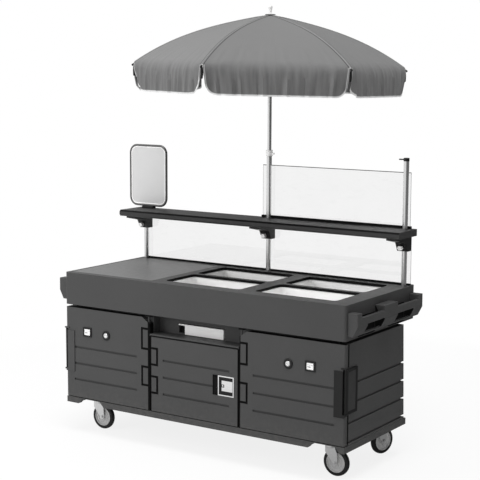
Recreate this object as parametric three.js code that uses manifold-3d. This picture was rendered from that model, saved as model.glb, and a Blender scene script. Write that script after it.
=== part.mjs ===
// A food kiosk cart: a moulded cabinet on four swivel castors, a counter with four food pans, a shelf
// with two clear screens on three posts, a menu sign, and a six-rib umbrella that folds. Millimetres, +Z up.
// The origin is on the floor, in the middle of the part's length and straight below the umbrella's pole in
// its depth. The operator stands on the -Y side, where the doors are.

import * as THREE from 'three';
import { mergeVertices } from 'three/addons/utils/BufferGeometryUtils.js';
import Module from 'manifold-3d';

const wasm = await Module();
wasm.setup();

// Driving dimensions
const overrun = 2;        // how far every cutter runs past what it cuts
const clearance = 0.3;    // gap between pieces that are seated in each other
const counter = {
  top: 1008, apron: 199, cornerRadius: 16,
  leftMargin: 21, rightMargin: 117.5, frontMargin: 97, backMargin: 108,
};
const well = {
  length: 535, width: 293, gapX: 97, gapY: 34, rimX: 21.5, rimY: 20.5,
  ledge: 19, depth: 140, cornerRadius: 28,
};
const pan = { play: 1.5, rim: 3, wall: 3, depth: 100 };
const bin = {
  gap: 62.5, frontMargin: 49.5, backMargin: 83.5, ledgeX: 39, ledgeY: 36, depth: 160, cornerRadius: 40,
};
const cover = { length: 612, thickness: 20, play: 1 };
const base = { bottom: 187, thickness: 13, height: 37, backInset: 81.5, lip: 30, pad: 120 };
const cabinet = {
  endInset: 2, wall: 32, floor: 30, backTopInset: 129.5, backFootInset: 103.5, partition: 60,
};
const neck = { inset: 48, height: 17 };
const door = {
  recess: 3.5, thickness: 40, backGap: 4, footGap: 5, seam: 3, edgeRadius: 12, cornerRadius: 5,
  leftEnd: 651.5, rightEnd: 692.5,
};
const groove = { height: 13, depth: 5, lift: 112, pitch: 102, inset: 62, hingeInset: 84 };
const doorCorner = { width: 56, height: 36 };
const boss = { width: 50, height: 108, lowerHeight: 98, line: 5, depth: 5, upperLift: 379, lowerLift: 157 };
const centreBoss = { width: 47, height: 85, upperLift: 290, lowerLift: 119 };
const hinge = { pinRadius: 5, pinReach: 9 };
const hingeLug = { width: 32, thickness: 10 };
const niche = { depth: 100, height: 97, lip: 12 };
const drawer = { inset: 191.5, width: 276, sill: 3, height: 60, length: 350, wall: 4, front: 6, play: 5 };
const drawerGrip = { width: 46, lip: 8, depth: 20 };
const endRib = { height: 13, depth: 8, lift: 13, pitch: 107.5 };
const arch = { leftInset: 192, rightInset: 132, halfWidth: 102, slope: 34, height: 33, depth: 60 };
const castor = { sideInset: 166.5, trail: 33, wheelRadius: 80, wheelWidth: 29 };
const castorInsets = { frontLeft: 128, frontRight: 170, back: 138 };
const castorTurns = { front: 0, backLeft: 35, backRight: 70 };
const fork = {
  width: 38, plate: 3.5, headRadius: 32, headHeight: 21, footRadius: 16, axleRadius: 6, shoulder: 30,
};
const tyre = { rimRadius: 62, crownWidth: 17, webWidth: 16, hubRadius: 21, hubWidth: 34, soft: 4 };
const latch = { lift: 168, height: 268, ear: 8, earReach: 24, barrel: 7, blade: 118, thickness: 9 };
const latchPlate = { width: 66, thickness: 5, drop: 9, height: 258 };
const latchPlay = { side: 1, end: 0.6 };
const dial = { leftInset: 172, rightInset: 219, drop: 144, width: 60, height: 50, proud: 4 };
const vent = { leftInset: 320, rightInset: 361, drop: 148, radius: 26, proud: 6 };
const cup = { seamInset: 173.5, width: 139, lift: 170, height: 110, depth: 25 };
const paddle = { inset: 36, width: 98, height: 99, plate: 5, sink: 1, pinRadius: 3, pinDrop: 8, pinEnd: 6 };
const grip = {
  reach: 62, drop: 173, height: 130, inset: 17.5, web: 52, centreWeb: 160, slant: 54, slantIn: 28,
};
const gripRail = { lift: 61, height: 40, thickness: 24, lowerHeight: 11, lowerIn: 20, lowerEnd: 118 };
const post = {
  radius: 16, wall: 2.7, endInset: 42, backInset: 57.5, socket: 50, rightRise: 450, shelfDepth: 30,
};
const mast = { offCentre: 10, rise: 424 };
const collar = { radius: 21, height: 37, bore: 12.8, lever: 14, leverWidth: 12, leverHeight: 10 };
const pole = { radius: 12.5, wall: 2, inPost: 224 };
const shelf = {
  leftOverhang: 32, rightOverhang: 17, front: 193, back: 37, lift: 292, thickness: 40, nose: 10,
};
const channel = { height: 14, width: 22, overhang: 5 };
const glass = { thickness: 5, behindPost: 22.5, slot: 6, seat: 9, play: 1 };
const lowerGlass = { leftInset: 22, rightInset: 10 };
const upperGlass = { beforeMast: 57, rightInset: 20, rise: 368 };
const bracket = { width: 70, drop: 88, front: 169, back: 19, clamp: 27, nose: 12, mid: 55, midDrop: 36 };
const knob = { radius: 14, length: 22, studRadius: 4, studLength: 12, drop: 62, standoff: 9 };
const sign = { inset: 60, width: 308, height: 408, cornerRadius: 58, tube: 12, panel: 4, lift: 12 };
const signBase = { length: 90, width: 36 };
const umbrella = { radius: 836, rise: 861, drop: 309, valance: 170, turn: -84.8, ribs: 6 };
const cloth = { thickness: 3, hole: 22, edgeGap: 0.4, sag: 7 };
const valance = { slit: 7, flare: 26, corner: 30, foldPitch: 104, fold: 6 };
const rib = { width: 8, height: 10, gap: 3.8, pivot: 37, end: 825 };
const stretcher = { width: 7, height: 8, joint: 345, offset: 8 };
const runner = { radius: 39, bore: 12.8, drop: 351, height: 46, pivot: 33, pivotDrop: 323 };
const linkPin = { radius: 1.5, bore: 1.9 };
const crown = { radius: 43, bottomDrop: 30, topDrop: 13, stem: 8, capRadius: 34, capDrop: 3, cap: 4 };
const finial = { radius: 13, rise: 43, neckRadius: 7 };

// Shares of the sizes above, and counts
const straightShare = 0.54;                                        // part of the dome's drop that is straight
const clothRowShares = [0.12, 0.26, 0.42, 0.58, 0.73, 0.87, 1];    // rows of the cloth, of the dome's radius
const valanceRowShares = [0.3, 0.65, 1];
const cornerLiftShares = [1, 0.25];
const finialArcShares = { start: 0.3, sweep: 0.8 };                // of half a turn, from the ball's middle
const halfColumns = 9;
const roundSteps = 20;
const smallSteps = 12;
const cornerSteps = 3;

// Places worked out from the driving dimensions
const wellsLength = 2 * well.length + well.gapX;
const counterLength = counter.leftMargin + cover.length + bin.gap + wellsLength + counter.rightMargin;
const counterWidth = counter.frontMargin + 2 * well.width + well.gapY + counter.backMargin;
const rightEnd = counterLength / 2;
const backEdge = counterWidth / 2;
const floorless = counter.top - counter.apron;
const front = -backEdge + door.recess;
const doorBack = front + door.thickness;
const frameFront = doorBack + door.backGap;
const hingeY = front + door.edgeRadius;
const cabinetEnd = rightEnd - cabinet.endInset;
const cabinetBack = { top: backEdge - cabinet.backTopInset, foot: backEdge - cabinet.backFootInset };
const baseTop = base.bottom + base.height;
const baseBack = backEdge - base.backInset;
const seams = { left: door.leftEnd - rightEnd, right: rightEnd - door.rightEnd };
const doorTop = floorless - neck.height;
const doorBottom = baseTop + door.footGap;
const nicheFloor = doorTop - niche.height;
const centreTop = nicheFloor - niche.lip - door.backGap;
const drawerLeft = seams.left + drawer.inset;
const drawerBottom = nicheFloor + drawer.sill;
const latchBottom = doorBottom + latch.lift;
const dialX = { left: dial.leftInset - rightEnd, right: rightEnd - dial.rightInset };
const ventX = { left: vent.leftInset - rightEnd, right: rightEnd - vent.rightInset };
const cupLeft = seams.right - cup.seamInset;
const cupBottom = doorBottom + cup.lift;
const coverWidth = counterWidth - bin.frontMargin - bin.backMargin;
const binX = counter.leftMargin + cover.length / 2 - rightEnd;
const binY = (bin.frontMargin - bin.backMargin) / 2;
const wellBody = { length: well.length - 2 * well.rimX, width: well.width - 2 * well.rimY };
const postX = rightEnd - post.endInset;
const postY = backEdge - post.backInset;
const glassY = postY + glass.behindPost;
const shelfBottom = counter.top + shelf.lift;
const shelfTop = shelfBottom + shelf.thickness;
const mastTop = shelfBottom + mast.rise;
const lowerGlassX = { start: lowerGlass.leftInset - rightEnd, end: rightEnd - lowerGlass.rightInset };
const upperGlassX = { start: mast.offCentre - upperGlass.beforeMast, end: rightEnd - upperGlass.rightInset };
const bracketY = {
  front: postY - bracket.front, mid: postY - bracket.mid,
  clamp: postY - bracket.clamp, back: postY + bracket.back,
};
const signX = sign.inset - rightEnd;
const gripBottom = counter.top - grip.drop;
const railBottom = gripBottom + gripRail.lift;
const forkCrown = base.bottom - fork.headHeight;
const castorY = backEdge - castor.sideInset;
const castorPlaces = [
  { name: 'front_left', x: castorInsets.frontLeft - rightEnd, side: -1, swivel: castorTurns.front },
  { name: 'front_right', x: rightEnd - castorInsets.frontRight, side: -1, swivel: castorTurns.front },
  { name: 'back_left', x: castorInsets.back - rightEnd, side: 1, swivel: castorTurns.backLeft },
  { name: 'back_right', x: rightEnd - castorInsets.back, side: 1, swivel: castorTurns.backRight },
];
const apex = mastTop + umbrella.rise;
const crownBottom = apex - crown.bottomDrop;
const crownTop = apex - crown.topDrop;
const capLevel = apex - crown.capDrop;
const finialLevel = apex + finial.rise;
const runnerBottom = apex - runner.drop;
const runnerPivotLevel = apex - runner.pivotDrop;
const edgeAngle = Math.PI / umbrella.ribs;

const colours = {
  body: 0x4a4b4d, top: 0x6b6c6e, black: 0x17181a, steel: 0xc9ccd0, chrome: 0xe3e5e8, white: 0xf2f2ee,
  glass: 0xe6ecee, panel: 0xd4d6d8, canvas: 0x7f8184, rubber: 0x1b1c1e,
};

function material(colour, roughness, metalness) {
  return new THREE.MeshStandardMaterial({ color: colour, roughness, metalness });
}

function piece(name, geometry, finish) {
  const mesh = new THREE.Mesh(geometry, finish);
  mesh.name = name;
  return mesh;
}

// Solids, cuts and joins
function solid(geometry) {
  const bare = geometry.clone();
  bare.deleteAttribute('normal');
  bare.deleteAttribute('uv');
  const merged = mergeVertices(bare);
  return new wasm.Manifold(new wasm.Mesh({
    numProp: 3,
    vertProperties: new Float32Array(merged.attributes.position.array),
    triVerts: new Uint32Array(merged.index.array),
  }));
}

function surface(shape) {
  const mesh = shape.getMesh();
  const geometry = new THREE.BufferGeometry();
  geometry.setAttribute('position', new THREE.BufferAttribute(new Float32Array(mesh.vertProperties), 3));
  geometry.setIndex(new THREE.BufferAttribute(new Uint32Array(mesh.triVerts), 1));
  geometry.computeVertexNormals();
  return geometry;
}

function joined(...geometries) {
  return surface(geometries.map(solid).reduce((whole, part) => whole.add(part)));
}

function carved(geometry, cutters) {
  return surface(cutters.map(solid).reduce((whole, part) => whole.subtract(part), solid(geometry)));
}

// Simple shapes, each placed by its own limits
function block(x0, x1, y0, y1, z0, z1) {
  const geometry = new THREE.BoxGeometry(Math.abs(x1 - x0), Math.abs(y1 - y0), Math.abs(z1 - z0));
  return geometry.translate((x0 + x1) / 2, (y0 + y1) / 2, (z0 + z1) / 2);
}

function outline(points) {
  return new THREE.Shape(points.map(([x, y]) => new THREE.Vector2(x, y)));
}

function prism(shape, length) {
  return new THREE.ExtrudeGeometry(shape, { depth: length, bevelEnabled: false, curveSegments: cornerSteps });
}

function alongX(shape, x0, x1) {
  const turn = new THREE.Matrix4().makeBasis(
    new THREE.Vector3(0, 1, 0), new THREE.Vector3(0, 0, 1), new THREE.Vector3(1, 0, 0));
  return prism(shape, x1 - x0).applyMatrix4(turn).translate(x0, 0, 0);
}

function alongY(shape, y0, y1) {
  const turn = new THREE.Matrix4().makeBasis(
    new THREE.Vector3(1, 0, 0), new THREE.Vector3(0, 0, 1), new THREE.Vector3(0, -1, 0));
  return prism(shape, y1 - y0).applyMatrix4(turn).translate(0, y1, 0);
}

function alongZ(shape, z0, z1) {
  return prism(shape, z1 - z0).translate(0, 0, z0);
}

function roundedRect(x0, x1, y0, y1, radius) {
  const shape = new THREE.Shape();
  shape.absarc(x1 - radius, y0 + radius, radius, -Math.PI / 2, 0, false);
  shape.absarc(x1 - radius, y1 - radius, radius, 0, Math.PI / 2, false);
  shape.absarc(x0 + radius, y1 - radius, radius, Math.PI / 2, Math.PI, false);
  shape.absarc(x0 + radius, y0 + radius, radius, Math.PI, Math.PI * 3 / 2, false);
  return shape;
}

function turned(profile, steps) {
  const points = profile.map(([radius, height]) => new THREE.Vector2(radius, height));
  return new THREE.LatheGeometry(points, steps).rotateX(Math.PI / 2);
}

function rod(radius, z0, z1, x, y, steps = smallSteps) {
  return turned([[0, z0], [radius, z0], [radius, z1], [0, z1]], steps).translate(x, y, 0);
}

function rodAlongX(radius, x0, x1, y, z) {
  return turned([[0, x0], [radius, x0], [radius, x1], [0, x1]], smallSteps)
    .rotateY(Math.PI / 2).translate(0, y, z);
}

function rodAlongY(radius, y0, y1, x, z) {
  return turned([[0, y0], [radius, y0], [radius, y1], [0, y1]], smallSteps)
    .rotateX(-Math.PI / 2).translate(x, 0, z);
}

function tube(outer, inner, z0, z1) {
  return turned([[inner, z0], [outer, z0], [outer, z1], [inner, z1], [inner, z0]], roundSteps);
}

// Counter: a deep moulded top with a bin, four wells, sockets for the posts and a slot for the lower screen
function wellCentres() {
  const firstX = counter.leftMargin + cover.length + bin.gap + well.length / 2 - rightEnd;
  const firstY = counter.frontMargin + well.width / 2 - backEdge;
  const pitchX = well.length + well.gapX;
  const pitchY = well.width + well.gapY;
  const centres = [];
  for (let row = 0; row < 2; row += 1) {
    for (let column = 0; column < 2; column += 1) {
      centres.push([firstX + column * pitchX, firstY + row * pitchY]);
    }
  }
  return centres;
}

function roundedPocket(x, y, length, width, radius, z0, z1) {
  return alongZ(roundedRect(x - length / 2, x + length / 2, y - width / 2, y + width / 2, radius), z0, z1);
}

function wellCutters([x, y]) {
  const top = counter.top;
  const seat = top - well.ledge;
  const radius = well.cornerRadius;
  return [
    roundedPocket(x, y, well.length, well.width, radius, seat, top + overrun),
    roundedPocket(x, y, wellBody.length, wellBody.width, radius, top - well.depth, seat + overrun),
  ];
}

function postPlaces() {
  return [[-postX, postY], [mast.offCentre, postY], [postX, postY]];
}

function counterBody() {
  const top = counter.top;
  const halfLength = rightEnd;
  const halfWidth = backEdge;
  const seat = top - cover.thickness;
  const slab = alongZ(
    roundedRect(-halfLength, halfLength, -halfWidth, halfWidth, counter.cornerRadius), floorless, top);
  const coverSeat = block(
    binX - cover.length / 2 - cover.play, binX + cover.length / 2 + cover.play,
    binY - coverWidth / 2 - cover.play, binY + coverWidth / 2 + cover.play, seat, top + overrun);
  const binLength = cover.length - 2 * bin.ledgeX;
  const binWidth = coverWidth - 2 * bin.ledgeY;
  const binPocket = roundedPocket(
    binX, binY, binLength, binWidth, bin.cornerRadius, top - bin.depth, seat + overrun);
  const sockets = postPlaces().map(([x, y]) => (
    rod(post.radius + clearance, top - post.socket, top + overrun, x, y, roundSteps)));
  const slot = block(
    lowerGlassX.start - glass.play, lowerGlassX.end + glass.play,
    glassY - glass.slot / 2, glassY + glass.slot / 2, top - glass.seat - glass.play, top + overrun);
  const wells = wellCentres().flatMap(wellCutters);
  return carved(slab, [coverSeat, binPocket, ...wells, ...sockets, slot]);
}

function coverPanel() {
  return roundedPocket(
    binX, binY, cover.length, coverWidth, door.cornerRadius, counter.top - cover.thickness, counter.top);
}

function foodPan([x, y]) {
  const rimTop = counter.top - well.ledge + pan.rim;
  const bottom = rimTop - pan.depth;
  const bodyLength = wellBody.length - 2 * pan.wall;
  const bodyWidth = wellBody.width - 2 * pan.wall;
  const radius = well.cornerRadius;
  const rim = roundedPocket(
    x, y, well.length - 2 * pan.play, well.width - 2 * pan.play, radius, rimTop - pan.rim, rimTop);
  const body = roundedPocket(x, y, bodyLength, bodyWidth, radius, bottom, rimTop);
  const hollow = roundedPocket(
    x, y, bodyLength - 2 * pan.wall, bodyWidth - 2 * pan.wall, radius - pan.wall,
    bottom + pan.wall, rimTop + overrun);
  return carved(joined(rim, body), [hollow]);
}

// End grips: a moulded rail and a lower rail, held off the counter's end by three webs
function endGrip(side) {
  const wall = rightEnd;
  const outer = wall + grip.reach;
  const top = gripBottom + grip.height;
  const halfLength = backEdge - grip.inset;
  const openTop = railBottom + gripRail.height;
  const section = outline([
    [wall, gripBottom], [outer - grip.slantIn, gripBottom], [outer, gripBottom + grip.slant],
    [outer, top], [wall, top],
  ]);
  const cutters = [];
  for (const end of [-1, 1]) {
    const near = end * grip.centreWeb / 2;
    const far = end * (halfLength - grip.web);
    const lowFar = end * (halfLength - gripRail.lowerEnd);
    cutters.push(block(wall - overrun, outer - gripRail.thickness, near, far, railBottom, top + overrun));
    cutters.push(block(wall - overrun, outer + overrun, near, far, openTop, top + overrun));
    cutters.push(block(
      wall - overrun, wall + gripRail.lowerIn, near, lowFar, gripBottom - overrun, railBottom + overrun));
    cutters.push(block(
      wall - overrun, outer + overrun, near, lowFar, gripBottom + gripRail.lowerHeight, railBottom));
  }
  const right = carved(alongY(section, -halfLength, halfLength), cutters);
  return side > 0 ? right : right.rotateZ(Math.PI);
}

// Cabinet: one moulded shell with three compartments, a niche over the middle one and a cavity for the drawer
function ribLevels() {
  return [0, 1, 2, 3].map((step) => baseTop + endRib.lift + step * endRib.pitch);
}

function ribCutter(level) {
  const half = cabinetEnd;
  const around = block(
    -half - overrun, half + overrun, frameFront - overrun, cabinetBack.foot + overrun,
    level, level + endRib.height);
  const kept = block(
    -half + endRib.depth, half - endRib.depth, frameFront - 2 * overrun, cabinetBack.top - endRib.depth,
    level - overrun, level + endRib.height + overrun);
  return carved(around, [kept]);
}

function compartment(x0, x1, top) {
  return block(
    x0, x1, frameFront - overrun, cabinetBack.top - cabinet.wall, baseTop + cabinet.floor, top);
}

function cabinetShell() {
  const half = cabinetEnd;
  const top = doorTop;
  const nicheBack = front + niche.depth;
  const nicheLeft = seams.left + door.seam / 2;
  const nicheRight = seams.right - door.seam / 2;
  const halfPartition = cabinet.partition / 2;
  const side = outline([
    [frameFront, baseTop], [cabinetBack.foot, baseTop], [cabinetBack.top, top], [frameFront, top],
  ]);
  const neckBlock = block(
    -half + neck.inset, half - neck.inset, frameFront, cabinetBack.top - neck.inset,
    top - overrun, top + neck.height);
  const lip = block(
    nicheLeft, nicheRight, front, frameFront + overrun, nicheFloor - niche.lip, nicheFloor);
  const lugs = [hingeLineX('left'), hingeLineX('right')].map((x) => (
    block(
      x - hingeLug.width / 2, x + hingeLug.width / 2, front + door.recess, frameFront + overrun,
      top + door.backGap, top + door.backGap + hingeLug.thickness)));
  const underLip = nicheFloor - niche.lip - cabinet.floor;
  const cutters = [
    compartment(-half + cabinet.wall, seams.left - halfPartition, top - cabinet.floor),
    compartment(seams.left + halfPartition, seams.right - halfPartition, underLip),
    compartment(seams.right + halfPartition, half - cabinet.wall, top - cabinet.floor),
    block(
      nicheLeft, nicheRight, frameFront - overrun, nicheBack, nicheFloor, top + neck.height + overrun),
    block(
      drawerLeft - drawer.play, drawerLeft + drawer.width + drawer.play, nicheBack - overrun,
      nicheBack + drawer.length + drawer.play, drawerBottom, drawerBottom + drawer.height + drawer.play),
    block(
      drawerLeft - drawerGrip.width, drawerLeft, nicheBack - overrun, nicheBack + drawerGrip.depth,
      drawerBottom + drawer.play, drawerBottom + drawer.height - drawerGrip.lip),
    rod(hinge.pinRadius + clearance, top, top + door.backGap + hinge.pinReach, hingeLineX('left'), hingeY),
    rod(hinge.pinRadius + clearance, top, top + door.backGap + hinge.pinReach, hingeLineX('right'), hingeY),
    rod(
      hinge.pinRadius + clearance, centreTop, centreTop + door.backGap + hinge.pinReach,
      hingeLineX('centre'), hingeY),
    ...ribLevels().map(ribCutter),
  ];
  return carved(joined(alongX(side, -half, half), neckBlock, lip, ...lugs), cutters);
}

// Base: a slab with a skirt, arched over each castor
function archCutter(x, y0, y1) {
  const foot = base.bottom - overrun;
  const shape = outline([
    [x - arch.halfWidth, foot], [x + arch.halfWidth, foot],
    [x + arch.halfWidth - arch.slope, base.bottom + arch.height],
    [x - arch.halfWidth + arch.slope, base.bottom + arch.height],
  ]);
  return alongY(shape, y0, y1);
}

function baseSlab() {
  const half = rightEnd;
  const slab = block(-half, half, front, baseBack, base.bottom, baseTop);
  const pocket = block(
    -half + base.lip, half - base.lip, front + base.lip, baseBack - base.lip,
    base.bottom - overrun, base.bottom + base.thickness);
  const sockets = ['left', 'centre', 'right'].map((bay) => (
    rod(hinge.pinRadius + clearance, baseTop - hinge.pinReach, baseTop + overrun, hingeLineX(bay), hingeY)));
  const arches = [];
  const pads = [];
  arches.push(archCutter(arch.leftInset - rightEnd, front - overrun, front + arch.depth));
  arches.push(archCutter(rightEnd - arch.rightInset, front - overrun, front + arch.depth));
  for (const { x, side } of castorPlaces) {
    pads.push(block(
      x - base.pad / 2, x + base.pad / 2, side * castorY - base.pad / 2, side * castorY + base.pad / 2,
      base.bottom, base.bottom + base.thickness + overrun));
  }
  return joined(carved(slab, [pocket, ...sockets, ...arches]), ...pads);
}

// Castors: a pressed fork that swivels under its pad, and a wheel on the fork's axle
function forkPlate(y0, y1) {
  const shape = new THREE.Shape();
  const foot = castor.wheelRadius;
  shape.moveTo(-fork.shoulder, forkCrown + fork.plate);
  shape.lineTo(-fork.shoulder, forkCrown - fork.shoulder);
  shape.lineTo(castor.trail - fork.footRadius, foot);
  shape.absarc(castor.trail, foot, fork.footRadius, Math.PI, 2 * Math.PI, false);
  shape.lineTo(fork.shoulder + fork.footRadius, forkCrown - fork.shoulder);
  shape.lineTo(fork.shoulder, forkCrown + fork.plate);
  return alongY(shape, y0, y1);
}

function castorFork() {
  const inner = fork.width / 2;
  const outer = inner + fork.plate;
  const bridge = block(-fork.shoulder, fork.shoulder, -outer, outer, forkCrown, forkCrown + fork.plate);
  const head = rod(fork.headRadius, forkCrown, base.bottom - clearance, 0, 0, roundSteps);
  const axleEnd = outer + fork.plate;
  const axle = rodAlongY(fork.axleRadius, -axleEnd, axleEnd, castor.trail, castor.wheelRadius);
  return joined(forkPlate(-outer, -inner), forkPlate(inner, outer), bridge, head, axle);
}

function castorWheel() {
  const half = castor.wheelWidth / 2;
  const radius = castor.wheelRadius;
  const bore = fork.axleRadius + clearance;
  const side = [
    [bore, tyre.hubWidth / 2], [tyre.hubRadius, tyre.hubWidth / 2],
    [tyre.hubRadius + tyre.soft, tyre.webWidth / 2], [tyre.rimRadius - tyre.soft, tyre.webWidth / 2],
    [tyre.rimRadius, half], [radius - tyre.soft, half], [radius, tyre.crownWidth / 2],
  ];
  const other = side.map(([r, y]) => [r, -y]).reverse();
  return turned([...other.slice().reverse(), ...side.slice().reverse(), other[other.length - 1]], roundSteps)
    .rotateX(-Math.PI / 2).translate(castor.trail, 0, radius);
}

// Doors: double-walled panels, hung on short pins that stand out of their own top and bottom edges
function hingeLineX(bay) {
  const inset = door.seam / 2 + door.edgeRadius;
  if (bay === 'left') return seams.left - inset;
  if (bay === 'centre') return seams.left + inset;
  return seams.right + inset;
}

function doorSection(free, pivot) {
  const way = Math.sign(pivot - free);
  const edge = pivot + way * door.edgeRadius;
  const shape = new THREE.Shape();
  shape.moveTo(free, doorBack);
  shape.lineTo(free, front + door.cornerRadius);
  shape.lineTo(free + way * door.cornerRadius, front);
  shape.lineTo(pivot, front);
  shape.absarc(pivot, hingeY, door.edgeRadius, -Math.PI / 2, way > 0 ? 0 : -Math.PI, way < 0);
  shape.lineTo(edge, doorBack);
  return shape;
}

function grooveCutters(x0, x1) {
  return [0, 1, 2].map((step) => {
    const level = doorBottom + groove.lift + step * groove.pitch - groove.height / 2;
    return block(x0, x1, front - overrun, front + groove.depth, level, level + groove.height);
  });
}

function bossCutter(edge, way, width, level, height) {
  const inner = edge - way * width;
  const around = block(
    inner - way * boss.line, edge + way * overrun, front - overrun, front + boss.depth,
    level - boss.line, level + height + boss.line);
  const kept = block(
    inner, edge + way * 2 * overrun, front - 2 * overrun, front + boss.depth + overrun,
    level, level + height);
  return carved(around, [kept]);
}

function doorPanel(free, bay, top) {
  const pivot = hingeLineX(bay);
  const upper = Math.min(pivot, free) === pivot ? door.edgeRadius : -door.edgeRadius;
  const pins = rod(
    hinge.pinRadius, baseTop - hinge.pinReach + clearance, top + door.backGap + hinge.pinReach - clearance,
    pivot, hingeY);
  const way = -Math.sign(upper);
  const panel = alongZ(doorSection(free, pivot), doorBottom, top);
  const cutters = grooveCutters(pivot - way * groove.hingeInset, free + way * groove.inset);
  const edge = pivot + way * door.edgeRadius;
  if (bay === 'centre') {
    for (const level of [doorBottom + centreBoss.lowerLift, doorBottom + centreBoss.upperLift]) {
      cutters.push(bossCutter(edge, way, centreBoss.width, level, centreBoss.height));
    }
  } else {
    cutters.push(bossCutter(edge, way, boss.width, doorBottom + boss.upperLift, boss.height));
    cutters.push(bossCutter(edge, way, boss.width, doorBottom + boss.lowerLift, boss.lowerHeight));
  }
  return { panel, pins, cutters, edge, way };
}

function topCornerCutter(edge, way) {
  const inner = edge - way * doorCorner.width;
  const top = doorTop;
  const shape = outline([
    [inner, top + overrun], [edge + way * overrun, top + overrun],
    [edge + way * overrun, top - doorCorner.height], [edge, top - doorCorner.height], [inner, top],
  ]);
  return alongY(shape, front - overrun, doorBack + overrun);
}

function latchMount(side) {
  const outer = side * cabinetEnd;
  const face = front - latchPlate.thickness;
  const earEnd = side * (cabinetEnd + latchPlay.side + latch.thickness);
  const plate = block(
    outer - side * latchPlate.width, outer, face, front + overrun,
    latchBottom - latchPlate.drop, latchBottom - latchPlate.drop + latchPlate.height);
  const ears = [latchBottom, latchBottom + latch.height - latch.ear].map((level) => (
    block(outer - side * latch.earReach, earEnd, face, front + latch.barrel, level, level + latch.ear)));
  return [plate, ...ears];
}

function sideDoor(side) {
  const bay = side < 0 ? 'left' : 'right';
  const free = side * (cabinetEnd);
  const { panel, pins, cutters, edge, way } = doorPanel(free, bay, doorTop);
  const dialShape = block(
    dialX[bay] - dial.width / 2, dialX[bay] + dial.width / 2, front - dial.proud, front + overrun,
    doorTop - dial.drop - dial.height / 2, doorTop - dial.drop + dial.height / 2);
  const ventLevel = doorTop - vent.drop;
  const ventShape = rodAlongY(vent.radius, front - vent.proud, front + overrun, ventX[bay], ventLevel);
  const slotForBarrel = block(
    side * (cabinetEnd - latch.barrel - latchPlate.thickness), side * (cabinetEnd + overrun),
    front - latchPlate.thickness - overrun, front + 2 * latch.barrel + latchPlay.side,
    latchBottom + latch.ear, latchBottom + latch.height - latch.ear);
  const cutPanel = carved(panel, [...cutters, topCornerCutter(edge, way)]);
  return carved(joined(cutPanel, pins, dialShape, ventShape, ...latchMount(side)), [slotForBarrel]);
}

function centreDoor() {
  const free = seams.right - door.seam / 2;
  const { panel, pins, cutters } = doorPanel(free, 'centre', centreTop);
  const dish = block(
    cupLeft, cupLeft + cup.width, front - overrun, front + cup.depth, cupBottom, cupBottom + cup.height);
  const [pinY, pinZ] = paddlePin();
  const bore = rodAlongX(
    paddle.pinRadius + clearance, cupLeft - paddle.pinEnd, cupLeft + cup.width + paddle.pinEnd, pinY, pinZ);
  return joined(carved(panel, [...cutters, dish, bore]), pins);
}

function paddlePin() {
  return [front + paddle.sink + paddle.plate, cupBottom + cup.height - paddle.pinDrop];
}

function latchPaddle() {
  const [pinY, pinZ] = paddlePin();
  const top = pinZ + paddle.pinRadius;
  const left = cupLeft + paddle.inset;
  const plate = block(left, left + paddle.width, front + paddle.sink, pinY, top - paddle.height, top);
  const end = paddle.pinEnd - clearance;
  return joined(plate, rodAlongX(paddle.pinRadius, cupLeft - end, cupLeft + cup.width + end, pinY, pinZ));
}

function latchPivot(side) {
  return [side * (cabinetEnd + latchPlay.side + latch.thickness - latch.barrel), front + latch.barrel];
}

function cornerLever(side) {
  const [x, y] = latchPivot(side);
  const bottom = latchBottom + latch.ear + latchPlay.end;
  const top = latchBottom + latch.height - latch.ear - latchPlay.end;
  const wall = side * (cabinetEnd + latchPlay.side);
  const blade = block(wall, wall + side * latch.thickness, y, y + latch.blade, bottom, top);
  return joined(rod(latch.barrel, bottom, top, x, y), blade);
}

// Drawer: an open tray whose front carries a lip over the finger recess
function drawerTray() {
  const right = drawerLeft + drawer.width;
  const top = drawerBottom + drawer.height;
  const face = front + niche.depth;
  const tray = block(drawerLeft, right, face - drawer.front, face + drawer.length, drawerBottom, top);
  const hollow = block(
    drawerLeft + drawer.wall, right - drawer.wall, face + drawer.wall,
    face + drawer.length - drawer.wall, drawerBottom + drawer.wall, top + overrun);
  const lip = block(
    drawerLeft - drawerGrip.width, drawerLeft + overrun, face - drawer.front, face - clearance,
    top - drawerGrip.lip, top);
  return joined(carved(tray, [hollow]), lip);
}

// Posts, umbrella pole and locking collar
function sidePost(top) {
  return tube(post.radius, post.radius - post.wall, counter.top - post.socket, top);
}

function umbrellaPole() {
  return tube(pole.radius, pole.radius - pole.wall, mastTop - pole.inPost, crownBottom - clearance);
}

function lockCollar() {
  const bottom = mastTop + clearance;
  const ring = tube(collar.radius, collar.bore, bottom, mastTop + collar.height);
  const lever = block(
    collar.radius - overrun, collar.radius + collar.lever, -collar.leverWidth / 2, collar.leverWidth / 2,
    bottom + collar.leverHeight, bottom + 2 * collar.leverHeight);
  return joined(ring, lever);
}

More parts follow.
